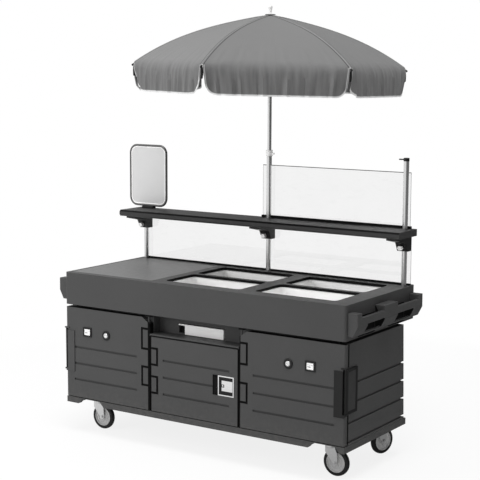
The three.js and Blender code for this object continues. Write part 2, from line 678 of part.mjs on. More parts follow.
// Shelf, its three brackets and knobs, the two screens and the sign
function shelfBoard() {
  const top = shelfTop;
  const edge = postY - shelf.front;
  const back = postY + shelf.back;
  const section = outline([
    [edge + shelf.nose, shelfBottom], [back, shelfBottom], [back, top],
    [edge + shelf.nose, top], [edge, top - shelf.nose], [edge, shelfBottom + shelf.nose],
  ]);
  const board = alongX(section, -rightEnd - shelf.leftOverhang, rightEnd + shelf.rightOverhang);
  const rail = block(
    upperGlassX.start - channel.overhang, upperGlassX.end + channel.overhang,
    glassY - channel.width / 2, glassY + channel.width / 2,
    top - overrun, top + channel.height);
  const bore = post.radius + clearance;
  const slotHalf = glass.slot / 2;
  const cutters = [
    rod(bore, shelfBottom - overrun, shelfBottom + post.shelfDepth + clearance, -postX, postY, roundSteps),
    rod(bore, shelfBottom - overrun, top + channel.height + overrun, mast.offCentre, postY, roundSteps),
    rod(bore, shelfBottom - overrun, top + channel.height + overrun, postX, postY, roundSteps),
    block(
      lowerGlassX.start - glass.play, lowerGlassX.end + glass.play, glassY - slotHalf, glassY + slotHalf,
      shelfBottom - overrun, shelfBottom + glass.seat + glass.play),
    block(
      upperGlassX.start - glass.play, upperGlassX.end + glass.play, glassY - slotHalf, glassY + slotHalf,
      top + channel.height - glass.seat, top + channel.height + overrun),
  ];
  return carved(joined(board, rail), cutters);
}

function shelfBracket(x) {
  const top = shelfBottom;
  const section = outline([
    [bracketY.front, top - bracket.nose], [bracketY.mid, top - bracket.midDrop],
    [bracketY.clamp, top - bracket.drop], [bracketY.back, top - bracket.drop],
    [bracketY.back, top], [bracketY.front, top],
  ]);
  return carved(alongX(section, x - bracket.width / 2, x + bracket.width / 2), [
    rod(post.radius + clearance, top - bracket.drop - overrun, top + overrun, x, postY, roundSteps),
    rodAlongY(
      knob.studRadius + clearance, bracketY.mid, bracketY.clamp + knob.studLength / 2, x,
      top - knob.drop - knob.studRadius),
  ]);
}

function knobFace() {
  const share = (knob.drop + knob.studRadius - bracket.midDrop) / (bracket.drop - bracket.midDrop);
  return bracketY.mid + share * (bracketY.clamp - bracketY.mid);
}

function clampKnob(x) {
  const face = knobFace() - knob.standoff;
  const stud = bracketY.clamp + knob.studLength / 2 - clearance;
  return turned([
    [0, -stud], [knob.studRadius, -stud], [knob.studRadius, -face], [knob.radius, -face],
    [knob.radius, knob.length - face], [0, knob.length - face],
  ], smallSteps).rotateX(Math.PI / 2).translate(x, 0, shelfBottom - knob.drop - knob.studRadius);
}

function lowerScreen() {
  return block(
    lowerGlassX.start, lowerGlassX.end, glassY - glass.thickness / 2, glassY + glass.thickness / 2,
    counter.top - glass.seat, shelfBottom + glass.seat);
}

function upperScreen() {
  const bottom = shelfTop + channel.height - glass.seat;
  return block(
    upperGlassX.start, upperGlassX.end, glassY - glass.thickness / 2, glassY + glass.thickness / 2,
    bottom, shelfBottom + upperGlass.rise);
}

function menuSign() {
  const bottom = shelfTop + sign.lift;
  const left = signX - sign.width / 2;
  const right = signX + sign.width / 2;
  const top = bottom + sign.height;
  const ring = roundedRect(left, right, bottom, top, sign.cornerRadius);
  const inner = roundedRect(
    left + sign.tube, right - sign.tube, bottom + sign.tube, top - sign.tube, sign.cornerRadius - sign.tube);
  ring.holes.push(inner);
  const frame = alongY(ring, postY - sign.tube / 2, postY + sign.tube / 2);
  const panelShape = roundedRect(
    left + sign.panel, right - sign.panel, bottom + sign.panel, top - sign.panel,
    sign.cornerRadius - sign.panel);
  const panel = alongY(panelShape, postY - sign.panel / 2, postY + sign.panel / 2);
  const foot = block(
    signX - signBase.length / 2, signX + signBase.length / 2, postY - signBase.width / 2,
    postY + signBase.width / 2, bottom - sign.lift, bottom + sign.tube / 2);
  return joined(frame, panel, foot);
}

// Umbrella: heights of the cloth over the rib line, from the pole outwards
function domeHeight(radius) {
  const share = radius / umbrella.radius;
  return apex - umbrella.drop * (straightShare * share + (1 - straightShare) * share ** 3);
}

function clothRows() {
  return [cloth.hole, ...clothRowShares.map((share) => share * umbrella.radius)];
}

function clothHeight(radius) {
  const rows = clothRows();
  const last = rows.findIndex((row) => row >= radius);
  const index = Math.max(last, 1);
  const [near, far] = [rows[index - 1], rows[index]];
  const share = (radius - near) / (far - near);
  return domeHeight(near) * (1 - share) + domeHeight(far) * share;
}

function ribLine(radius) {
  return clothHeight(radius) - cloth.thickness - rib.gap - rib.height / 2;
}

// A cloth of even thickness, from its outer and inner points and the quads between them
function clothSolid(outer, inner, quads) {
  const count = outer.length;
  const index = [];
  const seen = new Map();
  const key = (a, b) => a * count + b;
  for (const quad of quads) {
    const [a, b, c, d] = quad;
    index.push(a, b, c, a, c, d);
    index.push(a + count, c + count, b + count, a + count, d + count, c + count);
    for (const [from, to] of [[a, b], [b, c], [c, d], [d, a]]) seen.set(key(from, to), [from, to]);
  }
  for (const [from, to] of seen.values()) {
    if (!seen.has(key(to, from))) index.push(to, from, from + count, to, from + count, to + count);
  }
  const geometry = new THREE.BufferGeometry();
  const places = [...outer, ...inner].flatMap((point) => point.toArray());
  geometry.setAttribute('position', new THREE.Float32BufferAttribute(places, 3));
  geometry.setIndex(index);
  geometry.computeVertexNormals();
  return geometry;
}

function columnPlaces() {
  const end = umbrella.radius * Math.sin(edgeAngle) - cloth.edgeGap;
  const half = [];
  for (let step = 0; step <= halfColumns; step += 1) {
    half.push(valance.slit + (end - valance.slit) * step / halfColumns);
  }
  return [...half.map((place) => -place).reverse(), 0, ...half];
}

function edgePoint(place) {
  const along = Math.abs(place);
  return new THREE.Vector3(
    umbrella.radius - along * Math.sin(edgeAngle), place * Math.cos(edgeAngle), domeHeight(umbrella.radius));
}

function canopyPoint(row, place) {
  const share = row / umbrella.radius;
  const edge = edgePoint(place);
  const across = Math.abs(place) / (umbrella.radius * Math.sin(edgeAngle));
  const sag = cloth.sag * Math.sin(Math.PI * share) * across;
  return new THREE.Vector3(edge.x * share, edge.y * share, domeHeight(row) - sag);
}

function flapPoint(place, share, fromSlit) {
  const end = umbrella.radius * Math.sin(edgeAngle) - cloth.edgeGap;
  const along = Math.abs(place);
  const drawnIn = along + valance.flare * share * (end - along) / end;
  const point = edgePoint(Math.sign(place) * drawnIn);
  const out = valance.fold * share * Math.sin((end - along) / valance.foldPitch * 2 * Math.PI);
  const lift = share === 1 ? valance.corner * (cornerLiftShares[fromSlit] ?? 0) : 0;
  point.add(outward(place).multiplyScalar(out));
  point.z -= umbrella.valance * share - lift;
  return point;
}

function outward(place) {
  const angle = Math.sign(place) * edgeAngle;
  return new THREE.Vector3(Math.cos(angle), Math.sin(angle), 0);
}

function canopyPanel() {
  const columns = columnPlaces();
  const outer = [];
  const inner = [];
  const quads = [];
  const down = new THREE.Vector3(0, 0, -cloth.thickness);
  const rows = clothRows();
  rows.forEach((row, level) => columns.forEach((place) => {
    const point = canopyPoint(row, place);
    const under = point.clone().add(down);
    if (level === rows.length - 1) under.addScaledVector(outward(place), -cloth.thickness);
    outer.push(point);
    inner.push(under);
  }));
  const width = columns.length;
  for (let level = 0; level + 1 < rows.length; level += 1) {
    for (let column = 0; column + 1 < width; column += 1) {
      const corner = level * width + column;
      quads.push([corner, corner + width, corner + width + 1, corner + 1]);
    }
  }
  const eave = (rows.length - 1) * width;
  const middle = (width - 1) / 2;
  const flaps = [[0, middle - 1], [middle + 1, width - 1]];
  for (const [first, last] of flaps) {
    const size = last - first + 1;
    let above = columns.slice(first, last + 1).map((place, step) => eave + first + step);
    for (const share of valanceRowShares) {
      const start = outer.length;
      for (let step = 0; step < size; step += 1) {
        const place = columns[first + step];
        const fromSlit = place < 0 ? size - 1 - step : step;
        const point = flapPoint(place, share, fromSlit);
        outer.push(point);
        inner.push(point.clone().addScaledVector(outward(place), -cloth.thickness));
      }
      for (let step = 0; step + 1 < size; step += 1) {
        quads.push([above[step], start + step, start + step + 1, above[step + 1]]);
      }
      above = above.map((value, step) => start + step);
    }
  }
  return clothSolid(outer, inner, quads);
}

function umbrellaRib() {
  const rows = [rib.pivot, ...clothRows().filter((row) => row > rib.pivot && row < rib.end), rib.end];
  const half = rib.height / 2;
  const shape = new THREE.Shape();
  const start = ribLine(rib.pivot);
  shape.moveTo(rib.pivot, start + half);
  shape.absarc(rib.pivot, start, half, Math.PI / 2, Math.PI * 3 / 2, false);
  rows.slice(1).forEach((row) => shape.lineTo(row, ribLine(row) - half));
  rows.slice(1).reverse().forEach((row) => shape.lineTo(row, ribLine(row) + half));
  shape.holes.push(eye(rib.pivot, start));
  return alongY(shape, -rib.width / 2, rib.width / 2);
}

function stretcherBar() {
  const [r0, z0] = [runner.pivot, runnerPivotLevel];
  const [r1, z1] = [stretcher.joint, ribLine(stretcher.joint)];
  const angle = Math.atan2(z1 - z0, r1 - r0);
  const half = stretcher.height / 2;
  const shape = new THREE.Shape();
  shape.absarc(r0, z0, half, angle + Math.PI / 2, angle + Math.PI * 3 / 2, false);
  shape.absarc(r1, z1, half, angle - Math.PI / 2, angle + Math.PI / 2, false);
  shape.holes.push(eye(r0, z0));
  const near = stretcher.offset - stretcher.width / 2;
  return alongY(shape, near, near + stretcher.width);
}

function eye(radius, level) {
  return new THREE.Path().absarc(radius, level, linkPin.bore, 0, 2 * Math.PI, false);
}

function roundTheMast(geometry) {
  return Array.from({ length: umbrella.ribs }, (unused, step) => (
    geometry.clone().rotateZ(THREE.MathUtils.degToRad(umbrella.turn) + step * 2 * edgeAngle)));
}

function notched(ring, radius, bar, centre, [pivot, level], [floor, ceiling]) {
  const near = centre - bar.width / 2 - clearance;
  const far = centre + bar.width / 2 + clearance;
  const inner = pivot - bar.height / 2 - clearance;
  const notch = block(inner, radius + overrun, near, far, floor, ceiling + overrun);
  const pin = rodAlongY(linkPin.radius, near - overrun, far + overrun, pivot, level);
  return joined(carved(ring, roundTheMast(notch)), ...roundTheMast(pin));
}

function runnerRing() {
  const ring = tube(runner.radius, runner.bore, runnerBottom, runnerBottom + runner.height);
  const floor = runnerPivotLevel - stretcher.height / 2 - clearance;
  return notched(
    ring, runner.radius, stretcher, stretcher.offset, [runner.pivot, runnerPivotLevel],
    [floor, runnerBottom + runner.height]);
}

function crownHub() {
  const profile = [
    [0, crownBottom], [crown.radius, crownBottom], [crown.radius, crownTop - crown.cap],
    [cloth.hole - crown.cap, crownTop], [crown.stem, crownTop], [crown.stem, capLevel],
    [crown.capRadius, capLevel], [crown.capRadius - crown.cap, capLevel + crown.cap],
    [finial.neckRadius, capLevel + 2 * crown.cap],
  ];
  for (let step = 1; step <= 2 * cornerSteps; step += 1) {
    const angle = Math.PI * (step / (2 * cornerSteps) * finialArcShares.sweep - finialArcShares.start);
    profile.push([finial.radius * Math.cos(angle), finialLevel + finial.radius * Math.sin(angle)]);
  }
  profile[profile.length - 1][0] = 0;
  return notched(
    turned(profile, roundSteps), crown.radius, rib, 0, [rib.pivot, ribLine(rib.pivot)],
    [crownBottom - overrun, crownTop]);
}

// The assembly
const bodyGrey = () => material(colours.body, 0.62, 0);
const black = () => material(colours.black, 0.5, 0);
const steel = () => material(colours.steel, 0.28, 0.9);
const white = () => material(colours.white, 0.35, 0);
const clear = () => material(colours.glass, 0.08, 0);
const canvas = () => material(colours.canvas, 0.9, 0);

const kiosk = new THREE.Group();
const cart = new THREE.Group();
cart.position.set((sign.width / 2 - signX - rightEnd - grip.reach) / 2, -postY, 0);
kiosk.add(cart);

cart.add(piece('base_slab', baseSlab(), bodyGrey()));
cart.add(piece('cabinet_shell', cabinetShell(), bodyGrey()));
cart.add(piece('counter_top', counterBody(), bodyGrey()));
cart.add(piece('cover_panel', coverPanel(), material(colours.top, 0.6, 0)));
wellCentres().forEach((centre, step) => cart.add(piece(`food_pan_${step + 1}`, foodPan(centre), white())));
cart.add(piece('end_grip_left', endGrip(-1), bodyGrey()));
cart.add(piece('end_grip_right', endGrip(1), bodyGrey()));

cart.add(piece('door_left', sideDoor(-1), bodyGrey()));
cart.add(piece('door_centre', centreDoor(), bodyGrey()));
cart.add(piece('door_right', sideDoor(1), bodyGrey()));
cart.add(piece('centre_latch_paddle', latchPaddle(), material(colours.chrome, 0.2, 1)));
cart.add(piece('corner_lever_left', cornerLever(-1), black()));
cart.add(piece('corner_lever_right', cornerLever(1), black()));
cart.add(piece('utility_drawer', drawerTray(), white()));

for (const { name, x, side, swivel } of castorPlaces) {
  const group = new THREE.Group();
  group.position.set(x, side * castorY, 0);
  group.rotation.z = THREE.MathUtils.degToRad(swivel);
  group.add(piece(`castor_fork_${name}`, castorFork(), steel()));
  group.add(piece(`castor_wheel_${name}`, castorWheel(), material(colours.rubber, 0.7, 0)));
  cart.add(group);
}

function standing(name, geometry, finish, x) {
  const mesh = piece(name, geometry, finish);
  mesh.position.set(x, postY, 0);
  cart.add(mesh);
}

standing('post_left', sidePost(shelfBottom + post.shelfDepth), steel(), -postX);
standing('post_right', sidePost(shelfBottom + post.rightRise), steel(), postX);
standing('post_centre', sidePost(mastTop), steel(), mast.offCentre);
standing('lock_collar', lockCollar(), white(), mast.offCentre);
standing('umbrella_pole', umbrellaPole(), steel(), mast.offCentre);
standing('umbrella_crown', crownHub(), white(), mast.offCentre);
standing('umbrella_runner', runnerRing(), black(), mast.offCentre);

cart.add(piece('shelf_board', shelfBoard(), bodyGrey()));
postPlaces().forEach(([x], step) => {
  cart.add(piece(`shelf_bracket_${step + 1}`, shelfBracket(x), black()));
  cart.add(piece(`clamp_knob_${step + 1}`, clampKnob(x), white()));
});
cart.add(piece('lower_screen', lowerScreen(), clear()));
cart.add(piece('upper_screen', upperScreen(), clear()));
cart.add(piece('menu_sign', menuSign(), material(colours.panel, 0.5, 0)));

for (let step = 0; step < umbrella.ribs; step += 1) {
  const gore = new THREE.Group();
  gore.position.set(mast.offCentre, postY, 0);
  gore.rotation.z = THREE.MathUtils.degToRad(umbrella.turn) + step * 2 * edgeAngle;
  gore.add(piece(`umbrella_rib_${step + 1}`, umbrellaRib(), steel()));
  gore.add(piece(`umbrella_stretcher_${step + 1}`, stretcherBar(), steel()));
  gore.add(piece(`canopy_panel_${step + 1}`, canopyPanel(), canvas()));
  cart.add(gore);
}

export default kiosk;
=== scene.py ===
import math

import bmesh
import bpy
from mathutils import Matrix, Vector


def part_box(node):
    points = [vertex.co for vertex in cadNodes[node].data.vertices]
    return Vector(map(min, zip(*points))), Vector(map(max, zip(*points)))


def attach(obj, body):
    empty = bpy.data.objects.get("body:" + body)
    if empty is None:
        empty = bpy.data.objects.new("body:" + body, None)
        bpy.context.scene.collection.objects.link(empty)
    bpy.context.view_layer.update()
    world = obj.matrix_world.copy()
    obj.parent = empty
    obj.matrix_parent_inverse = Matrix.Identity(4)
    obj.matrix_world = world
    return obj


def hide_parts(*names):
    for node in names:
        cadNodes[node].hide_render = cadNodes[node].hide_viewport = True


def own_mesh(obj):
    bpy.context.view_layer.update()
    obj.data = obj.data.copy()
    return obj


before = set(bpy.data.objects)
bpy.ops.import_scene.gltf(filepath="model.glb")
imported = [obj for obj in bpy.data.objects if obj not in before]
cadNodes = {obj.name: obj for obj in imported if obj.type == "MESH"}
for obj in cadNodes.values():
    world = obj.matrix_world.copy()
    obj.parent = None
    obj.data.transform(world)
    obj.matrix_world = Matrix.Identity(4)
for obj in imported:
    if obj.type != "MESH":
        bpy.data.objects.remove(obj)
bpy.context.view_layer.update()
bpy.ops.object.select_all(action="DESELECT")
print("frame loaded with", len(cadNodes), "nodes")


# shader helpers
class Signal:
    def __init__(self, finish, socket):
        self.finish = finish
        self.socket = socket

    def maths(self, operation, other=0.0, flip=False):
        first, second = (other, self) if flip else (self, other)
        node = self.finish.add("ShaderNodeMath", {"operation": operation}, {0: first, 1: second})
        return Signal(self.finish, node.outputs[0])

    def __add__(self, other):
        return self.maths("ADD", other)

    def __sub__(self, other):
        return self.maths("SUBTRACT", other)

    def __rsub__(self, other):
        return self.maths("SUBTRACT", other, flip=True)

    def __mul__(self, other):
        return self.maths("MULTIPLY", other)

    def __truediv__(self, other):
        return self.maths("DIVIDE", other)

    def __rtruediv__(self, other):
        return self.maths("DIVIDE", other, flip=True)

    __radd__, __rmul__ = __add__, __mul__

    def __abs__(self):
        return self.maths("ABSOLUTE")

    def remainder(self, other):
        return self.maths("FLOORED_MODULO", other)

    def largest(self, other):
        return self.maths("MAXIMUM", other)

    def step(self, low, high):
        node = self.finish.add(
            "ShaderNodeMapRange", {"interpolation_type": "SMOOTHSTEP"},
            {"Value": self, "From Min": low, "From Max": high})
        return Signal(self.finish, node.outputs["Result"])


class Graph:
    def __init__(self, owner):
        owner.use_nodes = True
        self.tree = owner.node_tree
        self.tree.nodes.clear()

    def add(self, kind, settings=None, inputs=None):
        node = self.tree.nodes.new(kind)
        for key, value in (settings or {}).items():
            setattr(node, key, value)
        for key, value in (inputs or {}).items():
            self.feed(node.inputs[key], value)
        return node

    def feed(self, socket, value):
        if isinstance(value, Signal):
            value = value.socket
        if isinstance(value, bpy.types.NodeSocket):
            self.tree.links.new(value, socket)
        else:
            socket.default_value = value

    def anyRay(self, *kinds):
        rays = self.add("ShaderNodeLightPath").outputs
        seen = Signal(self, rays[kinds[0]])
        for kind in kinds[1:]:
            seen = seen.largest(Signal(self, rays[kind]))
        return seen


class Finish(Graph):
    def __init__(self, name, **fixed):
        self.material = bpy.data.materials.new(name)
        super().__init__(self.material)
        self.shader = self.add("ShaderNodeBsdfPrincipled", inputs=fixed)
        self.output = self.add("ShaderNodeOutputMaterial", inputs={"Surface": self.shader.outputs[0]})

    def place(self, stretch=(1, 1, 1), uv=None):
        if uv:
            source = self.add("ShaderNodeUVMap", {"uv_map": uv}).outputs["UV"]
        else:
            source = self.add("ShaderNodeTexCoord").outputs["Object"]
        return self.add("ShaderNodeMapping", inputs={"Vector": source, "Scale": stretch}).outputs["Vector"]

    def axis(self, name, uv=None):
        split = self.add("ShaderNodeSeparateXYZ", inputs={"Vector": self.place(uv=uv)})
        return Signal(self, split.outputs[name])

    def noise(self, scale, detail=3.0, stretch=(1, 1, 1), roughness=0.5, uv=None):
        inputs = {"Vector": self.place(stretch, uv), "Scale": scale, "Detail": detail, "Roughness": roughness}
        return Signal(self, self.add("ShaderNodeTexNoise", inputs=inputs).outputs[0])

    def cells(self, scale):
        node = self.add("ShaderNodeTexVoronoi", inputs={"Vector": self.place(), "Scale": scale})
        return Signal(self, node.outputs["Distance"])

    def blend(self, factor, first, second):
        node = self.add("ShaderNodeMix", {"data_type": "RGBA"}, {0: factor, 6: first, 7: second})
        return node.outputs[2]

    def bump(self, height, distance, strength):
        inputs = {"Height": height, "Distance": distance, "Strength": strength}
        self.set(Normal=self.add("ShaderNodeBump", inputs=inputs).outputs[0])

    def set(self, **inputs):
        for key, value in inputs.items():
            self.feed(self.shader.inputs[key.replace("_", " ")], value)


def tone(level, warm=0.0):
    # a grey as it looks on screen, 0 to 1, a little warm or cool
    values = []
    for shift in (warm, 0.0, -warm):
        part = min(max(level + shift, 0.0), 1.0)
        values.append(part / 12.92 if part <= 0.04045 else ((part + 0.055) / 1.055) ** 2.4)
    return (*values, 1.0)


# finishes
def mouldedPlastic(name, level, roughness, shine, spread=0.02, relief=0.35):
    finish = Finish(name, **{"Specular IOR Level": shine, "Metallic": 0.0})
    cloud = finish.noise(2.6, 4)
    patch = finish.noise(34, 5)
    grain = finish.noise(760, 2)
    pebble = finish.cells(420)
    scuff = finish.noise(58, 6, (1, 1, 9), 0.62).step(0.66, 0.78) * 0.5
    rubbed = finish.noise(90, 6, (7, 1, 1), 0.65).step(0.68, 0.8) * 0.5
    marks = scuff + rubbed
    # dust settles on the lowest stretch
    dust = (1 - finish.axis("Z").step(0.19, 0.34)) * patch.step(0.35, 0.75) * 0.35
    mottled = finish.blend(cloud * 0.55 + patch * 0.45, tone(level - spread), tone(level + spread))
    marked = finish.blend(marks * 0.35, mottled, tone(level + 0.17))
    finish.set(Base_Color=finish.blend(dust, marked, tone(level + 0.08, 0.01)))
    finish.set(Roughness=roughness + (patch - 0.5) * 0.16 + marks * 0.12 + dust * 0.1)
    finish.bump(grain * 0.6 + pebble * 0.5 - marks * 0.3, 0.00035, relief)
    return finish.material


def glossPlastic(name, level, roughness):
    finish = Finish(name, **{"Specular IOR Level": 0.5, "Coat Weight": 0.15, "Coat Roughness": 0.12})
    cloud = finish.noise(9, 4)
    ripples = finish.noise(120, 3)
    scratch = finish.noise(150, 6, (1, 9, 1), 0.7).step(0.62, 0.74)
    base = finish.blend(cloud, tone(level - 0.02), tone(level + 0.01, 0.004))
    finish.set(Base_Color=finish.blend(scratch * 0.25, base, tone(level - 0.12)))
    finish.set(Roughness=roughness + cloud * 0.1 + scratch * 0.15)
    finish.bump(ripples * 0.5 - scratch * 0.2, 0.0002, 0.35)
    return finish.material


def brightMetal(name, level, roughness, spots, brush=(1, 1, 1)):
    finish = Finish(name, **{"Metallic": 1.0})
    streak = finish.noise(95, 5, brush, 0.6)
    cloud = finish.noise(16, 4)
    spot = finish.noise(210, 4).step(0.66, 0.8)
    base = finish.blend(streak * 0.6 + cloud * 0.4, tone(level - 0.06), tone(level + 0.04))
    finish.set(Base_Color=finish.blend(spot * spots, base, tone(level - 0.2, 0.01)))
    finish.set(Roughness=roughness + streak * 0.1 + cloud * 0.06 + spot * 0.12 * spots)
    finish.bump(streak, 0.00008, 0.5)
    return finish.material


def clearPlastic(name, level):
    finish = Finish(name, **{"Transmission Weight": 1.0, "IOR": 1.45, "Specular IOR Level": 0.35})
    haze = finish.noise(5, 4)
    smear = finish.noise(14, 6, (1, 1, 3), 0.65).step(0.52, 0.72)
    base = finish.blend(haze, tone(level - 0.008), tone(level + 0.008))
    finish.set(Base_Color=finish.blend(smear * 0.3, base, tone(level - 0.03)))
    finish.set(Roughness=0.01 + smear * 0.03)
    return finish.material


def wheelTread(name, level):
    finish = Finish(name, **{"Specular IOR Level": 0.35})
    cloud = finish.noise(30, 5)
    grain = finish.noise(520, 3)
    worn = finish.noise(75, 5).step(0.55, 0.75)
    base = finish.blend(cloud, tone(level - 0.02), tone(level + 0.03))
    finish.set(Base_Color=finish.blend(worn * 0.3, base, tone(level + 0.13, 0.012)))
    finish.set(Roughness=0.62 + worn * 0.2 + cloud * 0.08)
    finish.bump(grain + worn * 0.5, 0.0004, 0.5)
    return finish.material


def canvasCloth(name, level, flapLevel, streak, bindingLevel, threadPitch, stitchPitch, seamHalf, stitchAt,
                binding, relief):
    finish = Finish(name, **{"Specular IOR Level": 0.15, "Sheen Weight": 0.12, "Sheen Roughness": 0.5})
    across, along = finish.axis("X", "cloth"), finish.axis("Y", "cloth")
    toEdge, onFlap = finish.axis("X", "edge"), finish.axis("Y", "edge")
    cloud = finish.noise(4.5, 4, uv="cloth")
    slub = finish.noise(60, 4, (1, 7, 1), uv="cloth")
    pucker = finish.noise(38, 3, (0.5, 1.6, 1), uv="cloth")

    def row(distance, run):
        dashes = abs(run.remainder(stitchPitch) / stitchPitch - 0.5).step(0.12, 0.2)
        return (1 - abs(distance).step(0.0006, 0.0011)) * dashes

    # the seam over the rib, a row of stitches on each side of it, and the flap's bound edge with its own
    seamSide = abs(across)
    welt = 1 - seamSide.step(seamHalf * 0.85, seamHalf)
    bound = 1 - toEdge.step(binding * 0.9, binding)
    stitches = row(seamSide - stitchAt, along) + row(toEdge - binding * 0.8, across)
    # the flap is a shade deeper, and from under the eave seam its gathers carry painted streaks of fold
    # shading
    base = finish.blend(cloud * 0.6 + slub * 0.4, tone(level - 0.018), tone(level + 0.018))
    foldShade = finish.noise(24, 3, (1, 0.09, 1), 0.55, "cloth").step(0.3, 0.7) * 0.8 + slub * 0.2
    flap = finish.blend(foldShade, tone(flapLevel - streak), tone(flapLevel + streak))
    colour = finish.blend(bound * 0.85, finish.blend(onFlap, base, flap), tone(bindingLevel))
    # painted highlight: the welt over the rib is painted lighter along its ridge
    colour = finish.blend(welt * 0.3, colour, tone(level + 0.13))
    # painted shadow: a dark band is painted along each side of the welt
    seamShadow = seamSide.step(seamHalf * 0.7, seamHalf) * (1 - seamSide.step(seamHalf * 1.3, seamHalf * 2.0))
    colour = finish.blend(seamShadow * 0.75, colour, tone(level - 0.30))
    finish.set(Base_Color=finish.blend(stitches * 0.6, colour, tone(level + 0.16)))
    finish.set(Roughness=0.86 + cloud * 0.08)
    warp, weft = (abs(way.remainder(threadPitch) / threadPitch - 0.5) for way in (across, along))
    threads = (warp + weft) * 0.7 + warp * weft
    finish.bump(threads * 0.35 + pucker * 1.1 + welt * 1.6 + bound * 1.5 + stitches * 0.8, 0.0007, relief)
    return finish.material


finishes = {
    "body": mouldedPlastic("bodyPlastic", level=0.268, spread=0.022, roughness=0.56, shine=0.26),
    "rim": mouldedPlastic("rimPlastic", level=0.25, spread=0.022, roughness=0.5, shine=0.3),
    "shelf": mouldedPlastic("shelfPlastic", level=0.205, spread=0.025, roughness=0.5, shine=0.3),
    "cover": mouldedPlastic("coverPlastic", level=0.41, spread=0.03, roughness=0.42, shine=0.45, relief=0.3),
    "black": mouldedPlastic("blackPlastic", level=0.09, roughness=0.46, shine=0.3, relief=0.3),
    # near-black for real black parts, also the painted shadow in gaps, grooves, recesses and slots
    "seal": mouldedPlastic("sealStrip", level=0.05, spread=0.012, roughness=0.75, shine=0.15, relief=0.25),
    # a dark grey; on the doors it is the painted shade on the grooves' floors
    "inset": mouldedPlastic("insetGreyAndGrooveShade", level=0.2, roughness=0.5, shine=0.35, relief=0.4),
    "hub": mouldedPlastic("hubPlastic", level=0.72, spread=0.03, roughness=0.45, shine=0.4, relief=0.25),
    "panel": mouldedPlastic("signPlastic", level=0.82, spread=0.012, roughness=0.45, shine=0.4, relief=0.12),
    "edge": mouldedPlastic("sheetEdge", level=0.3, roughness=0.35, shine=0.4, relief=0.1),
    "white": glossPlastic("whitePlastic", level=0.985, roughness=0.28),
    "tube": brightMetal("tubeMetal", level=0.86, roughness=0.16, brush=(1, 1, 0.06), spots=0.15),
    "frame": brightMetal("frameMetal", level=0.42, roughness=0.3, spots=0.1),
    "shade": brightMetal("shadedMetal", level=0.2, roughness=0.34, spots=0.1),
    "zinc": brightMetal("platedSteel", level=0.86, roughness=0.24, spots=0.4),
    "chrome": brightMetal("latchChrome", level=0.92, roughness=0.08, brush=(0.1, 1, 1), spots=0.1),
    "clear": clearPlastic("clearSheet", level=0.95),
    "rubber": wheelTread("wheelRubber", level=0.1),
    "canvas": canvasCloth(
        "canvasCloth", level=0.51, flapLevel=0.425, streak=0.05, bindingLevel=0.9, threadPitch=0.0016,
        stitchPitch=0.005, seamHalf=0.009, stitchAt=0.007, binding=0.010, relief=0.6),
}
print("finishes made:", len(finishes))


# the room: floor, world, lamps and camera
floorLook = dict(
    half=40.0, level=0.93, fade=(1.3, 3.4), nearGlow=0.84, mirrorShare=0.85, mirrorLevels=(0.10, 0.95),
    mirrorWay=(-0.88, -0.47), mirrorReach=(-2.0, 3.0))
worldLook = dict(
    soft=dict(levels=(0.10, 0.60), source=(-0.02, -0.37, 0.93), span=(-0.5, 0.95)),
    mirrored=dict(levels=(0.04, 1.1), source=(-0.80, -0.42, 0.43), span=(-0.1, 0.6)))
lamps = (
    dict(name="softKey", kind="SUN", strength=1.75, place=(-3, -4, 6), way=(-0.14, 0.18, -0.97),
         shape=dict(angle=math.radians(28))),
    dict(name="frontFill", kind="AREA", strength=72, place=(-2.5, -3.9, 2.5), way=(2.5, 3.4, -1.65),
         shape=dict(shape="DISK", size=2.2)),
)
view = dict(
    place=(4.30293, -6.74719, 2.28765), azimuth=33.6498, elevation=7.7555, roll=0.2586, lens=97.10,
    sensor=36.0)


def makeFloor(half, level, fade, nearGlow, mirrorShare, mirrorLevels, mirrorWay, mirrorReach):
    bpy.ops.mesh.primitive_plane_add(size=2 * half, location=(0, 0, 0))
    floor = bpy.context.object
    floor.name = "studioFloor"
    finish = Finish("paleFloor", **{"Roughness": 0.85, "Specular IOR Level": 0.1})
    finish.set(Base_Color=finish.blend(finish.noise(0.8, 3), tone(level - 0.004), tone(level + 0.004)))
    across, along = finish.axis("X"), finish.axis("Y")
    distance = (across * across + along * along).maths("SQRT")
    glow = finish.add("ShaderNodeEmission", inputs={"Color": (1, 1, 1, 1)})
    # the floor glows white far out; close by it stays dull enough to keep the shadow
    seen = finish.anyRay("Is Camera Ray", "Is Transmission Ray")
    white = (distance.step(*fade) * seen).largest(seen * nearGlow)
    # mirrors see a floor that darkens towards the back right
    mirror = finish.anyRay("Is Glossy Ray") * (1 - finish.anyRay("Is Transmission Ray"))
    wayX, wayY = mirrorWay
    low, high = mirrorLevels
    turned = (across * wayX + along * wayY).step(*mirrorReach) * (high - low) + low
    finish.feed(glow.inputs["Strength"], mirror * turned + (1 - mirror))
    parts = {0: white.largest(mirror * mirrorShare), 1: finish.shader.outputs[0], 2: glow.outputs[0]}
    finish.feed(finish.output.inputs["Surface"], finish.add("ShaderNodeMixShader", inputs=parts).outputs[0])
    floor.data.materials.append(finish.material)


